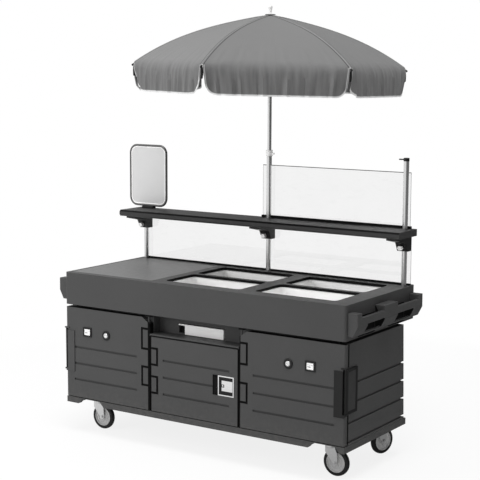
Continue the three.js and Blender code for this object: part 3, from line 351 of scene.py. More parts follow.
def makeWorld(soft, mirrored):
    world = bpy.data.worlds.new("studioWorld")
    bpy.context.scene.world = world
    graph = Graph(world)
    heading = graph.add("ShaderNodeTexCoord").outputs["Generated"]

    def glowing(strength):
        inputs = {"Color": (1, 1, 1, 1), "Strength": strength}
        return graph.add("ShaderNodeBackground", inputs=inputs).outputs[0]

    def glowFrom(levels, source, span):
        node = graph.add("ShaderNodeVectorMath", {"operation": "DOT_PRODUCT"}, {0: heading, 1: source})
        low, high = levels
        return glowing(Signal(graph, node.outputs["Value"]).step(*span) * (high - low) + low)

    # soft light mostly from above and the left front; mirrors see a dark side at the right
    sides = {0: graph.anyRay("Is Glossy Ray"), 1: glowFrom(**soft), 2: glowFrom(**mirrored)}
    lit = graph.add("ShaderNodeMixShader", inputs=sides)
    seen = graph.anyRay("Is Camera Ray", "Is Transmission Ray")
    mix = graph.add("ShaderNodeMixShader", inputs={0: seen, 1: lit.outputs[0], 2: glowing(1.0)})
    graph.add("ShaderNodeOutputWorld", inputs={"Surface": mix.outputs[0]})


def makeLamp(name, kind, strength, place, way, shape):
    bpy.ops.object.light_add(type=kind, location=place)
    lamp = bpy.context.object
    lamp.name = name
    lamp.data.energy = strength
    for key, value in shape.items():
        setattr(lamp.data, key, value)
    # a broad lamp stays out of sight, and out of the glass and the metal
    if kind == "AREA":
        lamp.visible_camera = lamp.visible_glossy = lamp.visible_transmission = False
    lamp.rotation_euler = Vector(way).to_track_quat("-Z", "Y").to_euler()


def makeCamera(place, azimuth, elevation, roll, lens, sensor):
    data = bpy.data.cameras.new("photoCamera")
    camera = bpy.data.objects.new("photoCamera", data)
    bpy.context.scene.collection.objects.link(camera)
    data.lens, data.sensor_width, data.sensor_fit = lens, sensor, "HORIZONTAL"
    data.clip_end = 200
    azimuth, elevation, roll = (math.radians(angle) for angle in (azimuth, elevation, roll))
    level = math.cos(elevation)
    ahead = Vector((-math.sin(azimuth) * level, math.cos(azimuth) * level, -math.sin(elevation)))
    right = Vector((math.cos(azimuth), math.sin(azimuth), 0))
    up = right.cross(ahead)
    turnedRight = right * math.cos(roll) + up * math.sin(roll)
    turnedUp = up * math.cos(roll) - right * math.sin(roll)
    axes = Matrix((turnedRight, turnedUp, -ahead)).transposed()
    camera.matrix_world = Matrix.Translation(place) @ axes.to_4x4()
    bpy.context.scene.camera = camera


makeFloor(**floorLook)
makeWorld(**worldLook)
for lamp in lamps:
    makeLamp(**lamp)
makeCamera(**view)
bpy.context.scene.view_settings.view_transform = "Standard"
print("room, lamps and camera set")


# modelling helpers
def work(piece, mode="OBJECT"):
    if bpy.context.object and bpy.context.object.mode != "OBJECT":
        bpy.ops.object.mode_set(mode="OBJECT")
    bpy.ops.object.select_all(action="DESELECT")
    piece.select_set(True)
    bpy.context.view_layer.objects.active = piece
    bpy.ops.object.mode_set(mode=mode)


def settle(piece):
    work(piece)
    bpy.ops.object.transform_apply(location=True, rotation=True, scale=True)
    return piece


def pickFaces(piece, test):
    work(piece, "EDIT")
    bpy.ops.mesh.select_mode(type="FACE")
    bpy.ops.mesh.select_all(action="DESELECT")
    mesh = bmesh.from_edit_mesh(piece.data)
    for face in mesh.faces:
        if test(face.calc_center_median(), face.normal):
            face.select_set(True)
    bmesh.update_edit_mesh(piece.data)


def insetFaces(piece, test, *steps):
    # each step is a thickness and a depth
    pickFaces(piece, test)
    for thickness, depth in steps:
        bpy.ops.mesh.inset(thickness=thickness, depth=depth)
    bpy.ops.object.mode_set(mode="OBJECT")


flatness = 0.0005  # how far a picked face may lie from the plane it is picked by


def isFront(c, n):
    return n.y < -0.9


def isTop(c, n):
    return n.z > 0.9


def addModifier(piece, kind, **settings):
    work(piece)
    modifier = piece.modifiers.new("step", kind)
    for key, value in settings.items():
        setattr(modifier, key, value)
    bpy.ops.object.modifier_apply(modifier=modifier.name)


def roundEdges(piece, width, segments=2, sharp=30.0):
    addModifier(
        piece, "BEVEL", width=width, segments=segments, limit_method="ANGLE", angle_limit=math.radians(sharp),
        use_clamp_overlap=True, miter_outer="MITER_ARC")


def smooth(piece, sharp=38.0, weighted=True):
    work(piece)
    bpy.ops.object.shade_smooth_by_angle(angle=math.radians(sharp))
    if weighted:
        addModifier(piece, "WEIGHTED_NORMAL", keep_sharp=True, weight=60)


def soften(piece, width, segments=2, sharp=30.0):
    roundEdges(piece, width, segments, sharp)
    smooth(piece)


def dress(piece, body, *names, instead=None):
    piece.data.materials.clear()
    for name in names:
        piece.data.materials.append(finishes[name])
    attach(piece, body)
    if instead:
        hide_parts(instead)
    return piece


def paint(piece, index, test):
    for polygon in piece.data.polygons:
        if test(polygon.center, polygon.normal):
            polygon.material_index = index


def box(name, low, high):
    low, high = Vector(low), Vector(high)
    bpy.ops.mesh.primitive_cube_add(size=1, location=(low + high) / 2)
    piece = bpy.context.object
    piece.name = name
    piece.scale = high - low
    return settle(piece)


def disc(name, centre, radius, depth, vertices, turn=(0, 0, 0)):
    bpy.ops.mesh.primitive_cylinder_add(
        vertices=vertices, radius=radius, depth=depth, location=centre, rotation=turn)
    piece = bpy.context.object
    piece.name = name
    return settle(piece)


def newPiece(name, data):
    piece = bpy.data.objects.new(name, data)
    bpy.context.scene.collection.objects.link(piece)
    return piece


def closeMesh():
    # joins and turns the faces of the piece in edit mode, and leaves that mode
    bpy.ops.mesh.select_all(action="SELECT")
    bpy.ops.mesh.remove_doubles(threshold=0.00001)
    bpy.ops.mesh.normals_make_consistent(inside=False)
    bpy.ops.object.mode_set(mode="OBJECT")


def copyOf(name, node):
    # a node's own shape, merged into whole faces, to be rounded and worked on
    piece = newPiece(name, cadNodes[node].data.copy())
    work(piece, "EDIT")
    bpy.ops.mesh.customdata_custom_splitnormals_clear()
    bpy.ops.mesh.select_all(action="SELECT")
    bpy.ops.mesh.remove_doubles(threshold=0.00002)
    bpy.ops.mesh.dissolve_limited(angle_limit=math.radians(0.4))
    bpy.ops.mesh.select_all(action="DESELECT")
    bpy.ops.mesh.select_mode(type="FACE")
    bpy.ops.mesh.select_face_by_sides(number=4, type="GREATER")
    bpy.ops.mesh.quads_convert_to_tris(quad_method="BEAUTY", ngon_method="BEAUTY")
    bpy.ops.object.mode_set(mode="OBJECT")
    return piece


def moulded(name, node, width, segments, body, *names):
    piece = copyOf(name, node)
    soften(piece, width, segments)
    return dress(piece, body, *names, instead=node)


def trim(name, low, high, edge, body, finishName, dish=None):
    # a small block with soft edges, its front dished where a thickness and a depth are given
    piece = box(name, low, high)
    if dish:
        insetFaces(piece, isFront, dish)
    soften(piece, edge)
    dress(piece, body, finishName)


def shadowStrip(name, low, high, edge, body):
    # a near-black strip with narrow chamfers, standing in for the shadow in a gap
    piece = box(name, low, high)
    roundEdges(piece, edge, 1)
    dress(piece, body, "seal")


def turned(name, profile, steps, centre, turn, body, *names, instead=None):
    piece = turnedPiece(name, profile, steps, centre, turn)
    smooth(piece)
    return dress(piece, body, *names, instead=instead)


def carve(piece, *cutters):
    for cutter in cutters:
        addModifier(piece, "BOOLEAN", operation="DIFFERENCE", solver="EXACT", object=cutter)
        bpy.data.objects.remove(cutter)


def joinPieces(first, *others):
    work(first)
    for other in others:
        other.select_set(True)
    bpy.ops.object.join()
    return first


toFront = (math.pi / 2, 0, 0)


def facing(way):
    return Vector(way).to_track_quat("Z", "Y").to_euler()


def turnedPiece(name, profile, steps, centre, turn=(0, 0, 0)):
    # profile: (radius, height) pairs, spun round an axis through centre
    mesh = bpy.data.meshes.new(name)
    piece = newPiece(name, mesh)
    mesh.from_pydata([(r, 0, h) for r, h in profile], [(i, i + 1) for i in range(len(profile) - 1)], [])
    work(piece, "EDIT")
    bpy.ops.mesh.select_all(action="SELECT")
    bpy.ops.mesh.spin(steps=steps, angle=2 * math.pi, center=(0, 0, 0), axis=(0, 0, 1))
    closeMesh()
    piece.rotation_euler = turn
    piece.location = centre
    return settle(piece)


# body: base, cabinet, counter, cover and grips
bodyLook = dict(
    edge=0.003, counterEdge=0.004, skin=0.0045, neck=(0.7925, 0.8085), neckFront=-0.65, wellsLeft=-0.3,
    wellsInset=0.05, wellWall=(0.024, 0.0005))
gripLook = dict(
    edge=0.003, inner=dict(left=-0.974, right=1.006), shaded=(-0.64, -0.07), shadedTop=0.90,
    slotSpans=((-0.631, -0.436), (-0.274, -0.079)), shadowPlateSpan=(0.813, 0.928), shadowPlateHalf=0.0008,
    shadowPlateEdge=0.0005)


def makeBody(edge, counterEdge, skin, neck, neckFront, wellsLeft, wellsInset, wellWall):
    moulded("baseMoulding", "base_slab", edge, 2, "cart", "body")
    shell = moulded("cabinetMoulding", "cabinet_shell", edge, 2, "cart", "body", "seal")
    # painted shadow: the recessed neck under the counter's front is painted near-black
    paint(shell, 1, lambda c, n: neck[0] < c.z < neck[1] and abs(n.z) < 0.3 and c.y < neckFront)
    counterPiece = moulded("counterMoulding", "counter_top", counterEdge, 3, "cart", "body", "rim", "seal")
    low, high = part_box("counter_top")

    def inWells(c):
        return wellsLeft < c.x < high.x - wellsInset and low.y + wellsInset < c.y < high.y - wellsInset

    paint(counterPiece, 1, lambda c, n: c.z > high.z - skin and n.z > 0.3)
    # painted shadow: the counter's underside is painted near-black
    paint(counterPiece, 2, lambda c, n: c.z < low.z + skin)
    # painted shade: the wells' lips, and their walls above the pans' rims, are painted near-black as a dark
    # line round each pan
    paint(counterPiece, 2, lambda c, n: inWells(c) and (
        high.z - wellWall[0] < c.z < high.z - wellWall[1] and abs(n.z) < 0.75
        or high.z - skin < c.z and abs(n.z) < 0.97))
    moulded("coverMoulding", "cover_panel", edge, 3, "cover", "cover")


def makeGrips(edge, inner, shaded, shadedTop, slotSpans, shadowPlateSpan, shadowPlateHalf, shadowPlateEdge):
    for side, x in inner.items():
        grip = moulded("gripMoulding." + side, "end_grip_" + side, edge, 3, "cart", "body", "seal")
        # painted shade: the slots' walls are painted near-black, and a near-black plate behind each slot
        # stands in for its shadow
        paint(grip, 1, lambda c, n: abs(n.y) > 0.9 and shaded[0] < c.y < shaded[1] and c.z < shadedTop)
        for step, (back, ahead) in enumerate(slotSpans):
            low, high = (x - shadowPlateHalf, back, shadowPlateSpan[0]), (x + shadowPlateHalf, ahead, shadowPlateSpan[1])
            trim(f"gripShadowPlate.{side}.{step}", low, high, shadowPlateEdge, "cart", "seal")


makeBody(**bodyLook)
makeGrips(**gripLook)
print("body done")


# doors: each bay has its top edge's height, its seams, the way to its hinge and its hinge blocks
sideBlocks = ((0.608, 0.108), (0.386, 0.098))
doorLook = dict(
    face=-0.7640, edge=0.0016, lineSpan=(0.0002, 0.0065), lineReach=0.068, grooveSpan=(0.004, 0.006),
    shadeFrom=0.0003, seamReach=0.004,
    plate=dict(reach=0.072, bottom=0.386, top=0.668, proud=0.0004, back=0.012, endReach=0.03),
    block=dict(width=0.0485, line=0.0135, cut=0.006, past=0.01, hair=0.0002),
    bays=dict(
        left=(0.785, (-0.324,), 1, sideBlocks),
        centre=(0.672, (-0.321, 0.312), -1, ((0.519, 0.085), (0.348, 0.085))),
        right=(0.785, (0.315,), -1, sideBlocks)))
doorFace = doorLook["face"]


def blockLines(hinge, way, level, height, width, line, cut, past, hair):
    # three strips cut round a hinge block: below it, above it and along its inner side
    inner, top = hinge - way * width, level + height
    far, outside = inner - way * line, hinge + way * past
    # the upright strip stops halfway into the other two and is a hair deeper, so no faces coincide
    spans = (
        (far, outside, level - line, level, 0), (far, outside, top, top + line, 0),
        (far + way * hair / 2, inner, level - line / 2, top + line / 2, hair))
    for x0, x1, z0, z1, extra in spans:
        low = (min(x0, x1), doorFace - 2 * past - extra, z0)
        yield box("cutter", low, (max(x0, x1), doorFace + cut + extra, z1))


def makeDoors(face, edge, lineSpan, lineReach, grooveSpan, shadeFrom, seamReach, plate, block, bays):
    for bay, (top, seams, way, blocks) in bays.items():
        node = "door_" + bay
        low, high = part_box(node)
        hinge = high.x if way > 0 else low.x

        def byHinge(c):
            return abs(c.x - hinge) < lineReach

        def bySeam(c, n):
            return abs(n.x) > 0.3 and any(abs(c.x - seam) < seamReach for seam in seams)

        def onPlate(c, n):
            fromEnd = abs(c.x - high.x)
            side = abs(n.y) < 0.5 and c.y < face + plate["back"] and fromEnd < plate["endReach"]
            inside = fromEnd < plate["reach"] and plate["bottom"] < c.z < plate["top"]
            return inside and (c.y < face - plate["proud"] or side)

        door = copyOf("doorPanel." + bay, node)
        for level, height in blocks:
            carve(door, *blockLines(hinge, way, level, height, **block))
        soften(door, edge)
        dress(door, node + "_body", "body", "black", "seal", "inset", instead=node)
        if bay == "right":
            paint(door, 1, onPlate)
        # the hinge blocks' outlines, the edges beside the seams and the top edges are deep shadow
        paint(door, 2, lambda c, n: face + lineSpan[0] < c.y < face + lineSpan[1] and byHinge(c))
        paint(door, 2, lambda c, n: c.y > face + shadeFrom and (bySeam(c, n) or n.z > 0.3 and c.z > top))
        # painted shade: the long grooves' floors are painted a shade darker than the face
        paint(door, 3, lambda c, n: (
            isFront(c, n) and face + grooveSpan[0] < c.y < face + grooveSpan[1] and not byHinge(c)))


ledgeShadowLook = dict(bottom=0.6805, top=0.6885, proud=0.0006, back=0.006, ends=(0.004, 0.002), edge=0.0004)


def makeLedgeShadow(bottom, top, proud, back, ends, edge):
    # painted shadow: a near-black strip on the ledge's front, just above the centre door
    low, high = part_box("door_centre")
    start = (low.x + ends[0], doorFace - proud, bottom)
    shadowStrip("ledgeShadow", start, (high.x - ends[1], doorFace + back, top), edge, "cart")


edgeShadowLook = dict(
    ends=dict(left=-0.972, right=1.004), spans=((0.231, 0.398), (0.664, 0.790)), reach=0.0010, inside=0.012,
    back=-0.7205, width=0.0135, edge=0.0003)


def makeEdgeShadows(ends, spans, reach, inside, back, width, edge):
    # a near-black strip of painted shadow on each free edge; it leaves out the lever's height, so the door
    # swings clear
    for bay, x in ends.items():
        way = 1 if x > 0 else -1
        near, far = sorted((x + way * reach, x - way * inside))
        for step, (bottom, top) in enumerate(spans):
            start = (near, back - width, bottom)
            shadowStrip(f"doorEdgeShadow.{bay}.{step}", start, (far, back, top), edge, f"door_{bay}_body")


gaugePlaces = dict(left=((-0.802, 0.648), (-0.654, 0.644)), right=((0.787, 0.648), (0.645, 0.644)))
dialLook = dict(
    half=(0.032, 0.029), proud=0.0062, back=0.002, rim=0.0100, inner=0.0005, sunk=0.0016, edge=0.0004,
    ticks=9, tickStep=0.0042, tickLong=0.007, shortShare=0.6, tickUp=0.004, markHalf=0.0004, markBack=0.0002,
    bar=((-0.0165, -0.0005, -0.006), (0.003, 0.0002, -0.002)), markEdge=0.00015)


def makeDial(bay, x, z, half, proud, back, rim, inner, sunk, edge, ticks, tickStep, tickLong, shortShare,
             tickUp, markHalf, markBack, bar, markEdge):
    front = doorFace - proud
    wide, high = half
    dial = box("dialFrame." + bay, (x - wide, front, z - high), (x + wide, doorFace + back, z + high))
    insetFaces(dial, isFront, (rim, 0), (inner, -sunk))
    soften(dial, edge)
    dress(dial, f"door_{bay}_body", "black", "white")
    paint(dial, 1, lambda c, n: isFront(c, n) and front + sunk * 0.8 < c.y < doorFace)
    marks = []
    for step in range(ticks):
        middle = Vector((x + (step - (ticks - 1) / 2) * tickStep, front + sunk, z + tickUp))
        length = tickLong * (shortShare if step % 2 else 1)
        marks.append(box(
            "mark", middle - Vector((markHalf, markHalf, 0)), middle + Vector((markHalf, markBack, length))))
    middle = Vector((x, front + sunk, z))
    marks.append(box("mark", middle + Vector(bar[0]), middle + Vector(bar[1])))
    scale = joinPieces(*marks)
    scale.name = "dialScale." + bay
    roundEdges(scale, markEdge, 1)
    dress(scale, f"door_{bay}_body", "seal")


ventLook = dict(
    ring=((0.0291, -0.002), (0.0291, 0.0042), (0.0271, 0.0062), (0.0175, 0.0062), (0.0165, 0.0032),
          (0.0, 0.0032)),
    cap=((0.0155, 0.0022), (0.0155, 0.0060), (0.0145, 0.0078), (0.0125, 0.0090), (0.0070, 0.0094),
         (0.0060, 0.0080), (0.0, 0.0080)))


def makeVent(bay, x, z, ring, cap):
    turned("ventRing." + bay, ring, 48, (x, doorFace, z), toFront, f"door_{bay}_body", "black")
    turned("ventCap." + bay, cap, 40, (x, doorFace, z), toFront, f"door_{bay}_body", "chrome")


leverLook = dict(
    rim=0.017, sunk=0.0035, ridge=(0.0035, 0.0012), edge=0.0018, blade=0.02, panel=(0.0018, 0.006))


def makeLevers(rim, sunk, ridge, edge, blade, panel):
    for side, way in (("left", -1), ("right", 1)):
        node = "corner_lever_" + side
        lever = copyOf("cornerLever." + side, node)
        low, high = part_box(node)
        outer = high.x if way > 0 else low.x
        insetFaces(lever, lambda c, n: n.x * way > 0.9 and abs(c.x - outer) < flatness, (rim, -sunk), ridge)
        soften(lever, edge)
        dress(lever, "lever_" + side, "black", "inset", instead=node)
        paint(lever, 1, lambda c, n: (
            n.x * way > 0.9 and panel[0] < abs(c.x - outer) < panel[1] and c.y > low.y + blade))


# corners are measured from the cup's split and floor at the paddle's front; a frame has two sides and a width
paddleLook = dict(
    cup=(0.140, 0.279, 0.399, 0.509), split=0.1735, rim=(0.006, -0.0022), edge=0.0012,
    handle=((0.026, -0.0045, 0.025), (0.1015, 0.003, 0.087)), handleEdge=0.0014,
    notch=((0.010, -0.010, 0.047), (0.044, -0.0012, 0.064)), notchShade=(0.045, -0.003, 0.046, 0.065),
    grip=((-0.032, -0.0018, 0.0065), (0.0, 0.002, 0.1045)), gripDish=(0.005, -0.0009), gripEdge=0.0006,
    lock=((0.0055, -0.002), (0.0055, 0.0018), (0.0048, 0.0024), (0.0036, 0.0024), (0.0032, 0.0016),
          (0.0, 0.0016)),
    lockPlace=(0.033, -0.001, 0.056), lining=(0.0225, 0.0249), liningGap=0.0005, liningDish=(0.003, -0.001),
    frames=(("latchFrame", 0.173, 0.283, 0.0072, "chrome"), ("latchSurround", 0.136, 0.1729, 0.0045, "seal")),
    frameProud=0.0022, frameMargin=0.004, frameEdge=0.0008)


def makePaddle(cup, split, rim, edge, handle, handleEdge, notch, notchShade, grip, gripDish, gripEdge, lock,
               lockPlace, lining, liningGap, liningDish, frames, frameProud, frameMargin, frameEdge):
    left, right, bottom, top = cup
    paddle = copyOf("latchPaddle", "centre_latch_paddle")
    front = min(vertex.co.y for vertex in paddle.data.vertices)
    insetFaces(paddle, lambda c, n: isFront(c, n) and abs(c.y - front) < flatness, rim)
    soften(paddle, edge, 3)
    dress(paddle, "latch_paddle", "chrome", "shade", instead="centre_latch_paddle")
    # painted shade: the paddle's front faces are painted in the darker shaded metal, its other faces stay
    # chrome
    paint(paddle, 1, lambda c, n: n.y < -0.3)
    corner = Vector((split, front, bottom))

    def fromCorner(places):
        return (corner + Vector(place) for place in places)

    handlePiece = box("latchHandle", *fromCorner(handle))
    carve(handlePiece, box("cutter", *fromCorner(notch)))
    soften(handlePiece, handleEdge, 3)
    dress(handlePiece, "latch_paddle", "chrome", "shade")
    # painted shade: the notch in the handle is painted in the darker shaded metal
    reach, depth, floor, roof = notchShade
    paint(handlePiece, 1, lambda c, n: (
        c.x < split + reach and c.y > front + depth and bottom + floor < c.z < bottom + roof))
    # the black finger grip fills the cup's left part
    trim("latchGrip", *fromCorner(grip), gripEdge, "latch_paddle", "seal", gripDish)
    turned("latchLock", lock, 32, corner + Vector(lockPlace), toFront, "latch_paddle", "chrome")
    # the cup's black lining, and a thin frame round the cup, bright at the right and black at the left
    liningPiece = box(
        "latchLining", (left + liningGap, doorFace + lining[0], bottom + liningGap),
        (right - liningGap, doorFace + lining[1], top - liningGap))
    insetFaces(liningPiece, isFront, liningDish)
    dress(liningPiece, "door_centre_body", "seal")
    for name, x0, x1, wide, finishName in frames:
        rimPiece = box(
            name, (x0, doorFace - frameProud, bottom - frameMargin),
            (x1, doorFace + frameMargin, top + frameMargin))
        pickFaces(rimPiece, lambda c, n: abs(n.y) > 0.9)
        bpy.ops.mesh.inset(thickness=wide)
        bpy.ops.mesh.bridge_edge_loops()
        bpy.ops.object.mode_set(mode="OBJECT")
        soften(rimPiece, frameEdge)
        dress(rimPiece, "door_centre_body", finishName)


makeDoors(**doorLook)
makeLedgeShadow(**ledgeShadowLook)
makeEdgeShadows(**edgeShadowLook)
for bay, (dialAt, ventAt) in gaugePlaces.items():
    makeDial(bay, *dialAt, **dialLook)
    makeVent(bay, *ventAt, **ventLook)
makeLevers(**leverLook)
makePaddle(**paddleLook)
print("doors, dials and latches done")


# counter goods: pans and drawer
panLook = dict(count=4, edge=0.002)
drawerLook = dict(
    edge=0.0015, pull=0.046, gap=0.0006, depths=(0.0185, 0.0258), under=0.0056, over=0.0086,
    dish=(0.003, -0.0015), liningEdge=0.0008)


def makePans(count, edge):
    for k in range(1, count + 1):
        moulded(f"pan.{k}", f"food_pan_{k}", edge, 3, f"pan_{k}", "white")


def makeDrawer(edge, pull, gap, depths, under, over, dish, liningEdge):
    low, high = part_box("utility_drawer")
    moulded("drawerTray", "utility_drawer", edge, 2, "drawer", "white")
    # a black block lines the finger recess beside the drawer
    start = (low.x + gap, low.y + depths[0], low.z + under)
    end = (low.x + pull - gap, low.y + depths[1], high.z - over)
    trim("pullLining", start, end, liningEdge, "cart", "seal", dish)


makePans(**panLook)
makeDrawer(**drawerLook)
print("pans and drawer done")


# posts, shelf, screens and sign
tubeLook = dict(steps=48, chamfer=0.0008, walls=dict(post=0.0027, pole=0.002))


def makeTube(name, node, body, kind, steps, chamfer, walls):
    low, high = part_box(node)
    centre, radius = (low + high) / 2, (high.x - low.x) / 2
    inner, shoulder = radius - walls[kind], high.z - chamfer
    profile = (
        (inner, low.z), (radius, low.z), (radius, shoulder), (radius - chamfer, high.z), (inner, high.z),
        (inner, low.z))
    turned(name, profile, steps, (centre.x, centre.y, 0), (0, 0, 0), body, "tube", instead=node)


capLook = dict(
    profile=((0.0162, -0.016), (0.0172, -0.016), (0.0172, 0.001), (0.0152, 0.003), (0.006, 0.004),
             (0.0, 0.004)),
    hook=((-0.0472, -0.005, -0.010), (-0.0142, 0.005, -0.003)), hookEdge=0.002)


def makePostCap(profile, hook, hookEdge):
    low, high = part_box("post_right")
    top = Vector(((low.x + high.x) / 2, (low.y + high.y) / 2, high.z))
    cap = turnedPiece("postCap", [(r, high.z + h) for r, h in profile], 40, (top.x, top.y, 0))
    hookPiece = box("hook", *(top + Vector(corner) for corner in hook))
    roundEdges(hookPiece, hookEdge)
    joinPieces(cap, hookPiece)
    smooth(cap)
    dress(cap, "cart", "black")


screwLook = dict(profile=(
    (0.0045, -0.001), (0.0045, 0.00126), (0.00369, 0.00238), (0.00225, 0.0028), (0.00189, 0.0016),
    (0.0, 0.0016)))


def makeScrew(name, place, way, profile):
    screw = turnedPiece(name, profile, 16, place, facing(way))
    smooth(screw, weighted=False)
    dress(screw, "cart", "zinc")


shelfLook = dict(edge=0.005, nose=0.02, topDeep=0.0135, braceEdge=0.003, screwIn=0.014, screwUp=0.020)


def makeShelf(edge, nose, topDeep, braceEdge, screwIn, screwUp):
    low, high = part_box("shelf_board")
    shelf = moulded("shelfMoulding", "shelf_board", edge, 3, "cart", "shelf", "seal")
    paint(shelf, 1, lambda c, n: c.z > high.z - topDeep)
    paint(shelf, 1, lambda c, n: n.y < -0.25 and n.z > 0.25 and c.y < low.y + nose)
    for k in (1, 2, 3):
        node = f"shelf_bracket_{k}"
        moulded(f"shelfBrace.{k}", node, braceEdge, 2, "cart", "black")
        start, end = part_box(node)
        for step, x in enumerate((start.x + screwIn, end.x - screwIn)):
            makeScrew(f"braceScrew.{k}.{step}", (x, end.y, start.z + screwUp), (0, 1, 0), **screwLook)


knobLook = dict(
    lobes=6, deep=0.0022, length=0.022, dish=((0.004, 0), (0.0015, -0.0012)), edge=0.0012, stud=0.0038)


def makeKnobs(lobes, deep, length, dish, edge, stud):
    for k in (1, 2, 3):
        node = f"clamp_knob_{k}"
        low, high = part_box(node)
        centre, radius = (low + high) / 2, (high.x - low.x) / 2
        place = (centre.x, low.y + length / 2, centre.z)
        knob = disc(f"clampKnob.{k}", place, radius, length, lobes * 6, toFront)
        for vertex in knob.data.vertices:
            across, up = vertex.co.x - centre.x, vertex.co.z - centre.z
            share = 1 - deep / radius * (0.5 - 0.5 * math.cos(lobes * math.atan2(up, across)))
            vertex.co.x, vertex.co.z = centre.x + across * share, centre.z + up * share
        insetFaces(knob, isFront, *dish)
        soften(knob, edge, 2, 40)
        reach = high.y - low.y - length
        profile = ((0.0, -0.001), (stud, -0.001), (stud, reach), (0.0, reach))
        end = (centre.x, low.y + length, centre.z)
        turned(f"clampStud.{k}", profile, 20, end, facing((0, 1, 0)), f"knob_{k}", "zinc")
        dress(knob, f"knob_{k}", "white", instead=node)


screenLook = dict(
    edge=0.0009, channel=((0, -0.012, -0.0005), (0, 0.004, 0.009)), channelEdge=0.002, ground=0.004,
    groundProud=0.0002, groundEdge=0.0006)


def makeScreens(edge, channel, channelEdge, ground, groundProud, groundEdge):
    for name, node in (("lowerSheet", "lower_screen"), ("upperSheet", "upper_screen")):
        sheet = moulded(name, node, edge, 2, "cart", "clear", "edge")
        paint(sheet, 1, lambda c, n: abs(n.y) < 0.5)
    # the lower sheet stands in a black channel on the counter
    low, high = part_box("lower_screen")
    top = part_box("counter_top")[1].z
    start, end = (Vector((side.x, side.y, top)) + Vector(out) for side, out in zip((low, high), channel))
    trim("sheetChannel", start, end, channelEdge, "cart", "seal")
    # the upper sheet's ground top edge shows as a grey line
    low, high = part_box("upper_screen")
    start = (low.x, low.y - groundProud, high.z - ground)
    trim("sheetEdge", start, high + Vector((0, groundProud, groundProud)), groundEdge, "cart", "edge")


signLook = dict(
    tube=0.0072, corner=0.052, steps=10, panelHalf=0.0022, lift=0.012, inner=0.0172, beadHalf=0.0048,
    footHalf=0.045, footHigh=0.0125, footCap=(0.006, 0.003), footEdge=0.0025, screwOut=0.036, screwUp=0.0145)


def roundedLoop(low, high, y, radius, steps):
    points = []
    for x, z, start in ((high.x, high.z, 0), (low.x, high.z, 90), (low.x, low.z, 180), (high.x, low.z, 270)):
        cx = x - radius if x == high.x else x + radius
        cz = z - radius if z == high.z else z + radius
        for step in range(steps + 1):
            angle = math.radians(start + 90 * step / steps)
            points.append((cx + radius * math.cos(angle), y, cz + radius * math.sin(angle)))
    return points


def tubeAlong(name, points, radius, resolution):
    curve = bpy.data.curves.new(name, "CURVE")
    curve.dimensions = "3D"
    curve.bevel_depth = radius
    curve.bevel_resolution = resolution
    spline = curve.splines.new("POLY")
    spline.points.add(len(points) - 1)
    for point, place in zip(spline.points, points):
        point.co = (*place, 1)
    spline.use_cyclic_u = True
    work(newPiece(name, curve))
    bpy.ops.object.convert(target="MESH")
    tube = bpy.context.object
    work(tube, "EDIT")
    closeMesh()
    return tube


def plateFrom(name, points, half):
    # a flat plate of even thickness from the loop of its outline
    mesh = bpy.data.meshes.new(name)
    plate = newPiece(name, mesh)
    mesh.from_pydata(points, [], [tuple(range(len(points)))])
    work(plate, "EDIT")
    bpy.ops.mesh.select_all(action="SELECT")
    bpy.ops.mesh.extrude_region_move(TRANSFORM_OT_translate={"value": (0, 2 * half, 0)})
    bpy.ops.mesh.select_all(action="SELECT")
    bpy.ops.transform.translate(value=(0, -half, 0))
    bpy.ops.mesh.normals_make_consistent(inside=False)
    bpy.ops.object.mode_set(mode="OBJECT")
    return plate


def makeSign(tube, corner, steps, panelHalf, lift, inner, beadHalf, footHalf, footHigh, footCap, footEdge,
             screwOut, screwUp):
    low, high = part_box("menu_sign")
    y, centre = (low.y + high.y) / 2, (low.x + high.x) / 2

    def loopAt(inset):
        margin = Vector((inset, 0, inset))
        start = Vector((low.x, 0, low.z + lift)) + margin
        return roundedLoop(start, high - margin, y, corner + tube - inset, steps)

    ring = tubeAlong("signFrame", loopAt(tube), tube, 5)
    smooth(ring, 50, weighted=False)
    dress(ring, "cart", "frame", instead="menu_sign")
    bead = tubeAlong("signBead", loopAt(inner), beadHalf, 3)
    smooth(bead, 60, weighted=False)
    dress(bead, "cart", "white")
    plate = plateFrom("signPlate", loopAt(inner), panelHalf)
    smooth(plate)
    dress(plate, "cart", "panel")
    foot = box("signFoot", (centre - footHalf, low.y, low.z), (centre + footHalf, high.y, low.z + footHigh))
    insetFaces(foot, isTop, footCap)
    soften(foot, footEdge, 3)
    dress(foot, "cart", "black")
    for step, x in enumerate((centre - screwOut, centre + screwOut)):
        makeScrew(f"signScrew.{step}", (x, y, low.z + screwUp), (0, 0, 1), **screwLook)


for side in ("left", "right", "centre"):
    makeTube("postTube." + side, "post_" + side, "cart", "post", **tubeLook)
makeTube("umbrellaTube", "umbrella_pole", "pole", "pole", **tubeLook)
makePostCap(**capLook)
makeShelf(**shelfLook)
makeKnobs(**knobLook)
makeScreens(**screenLook)
makeSign(**signLook)
print("posts, shelf, screens and sign done")


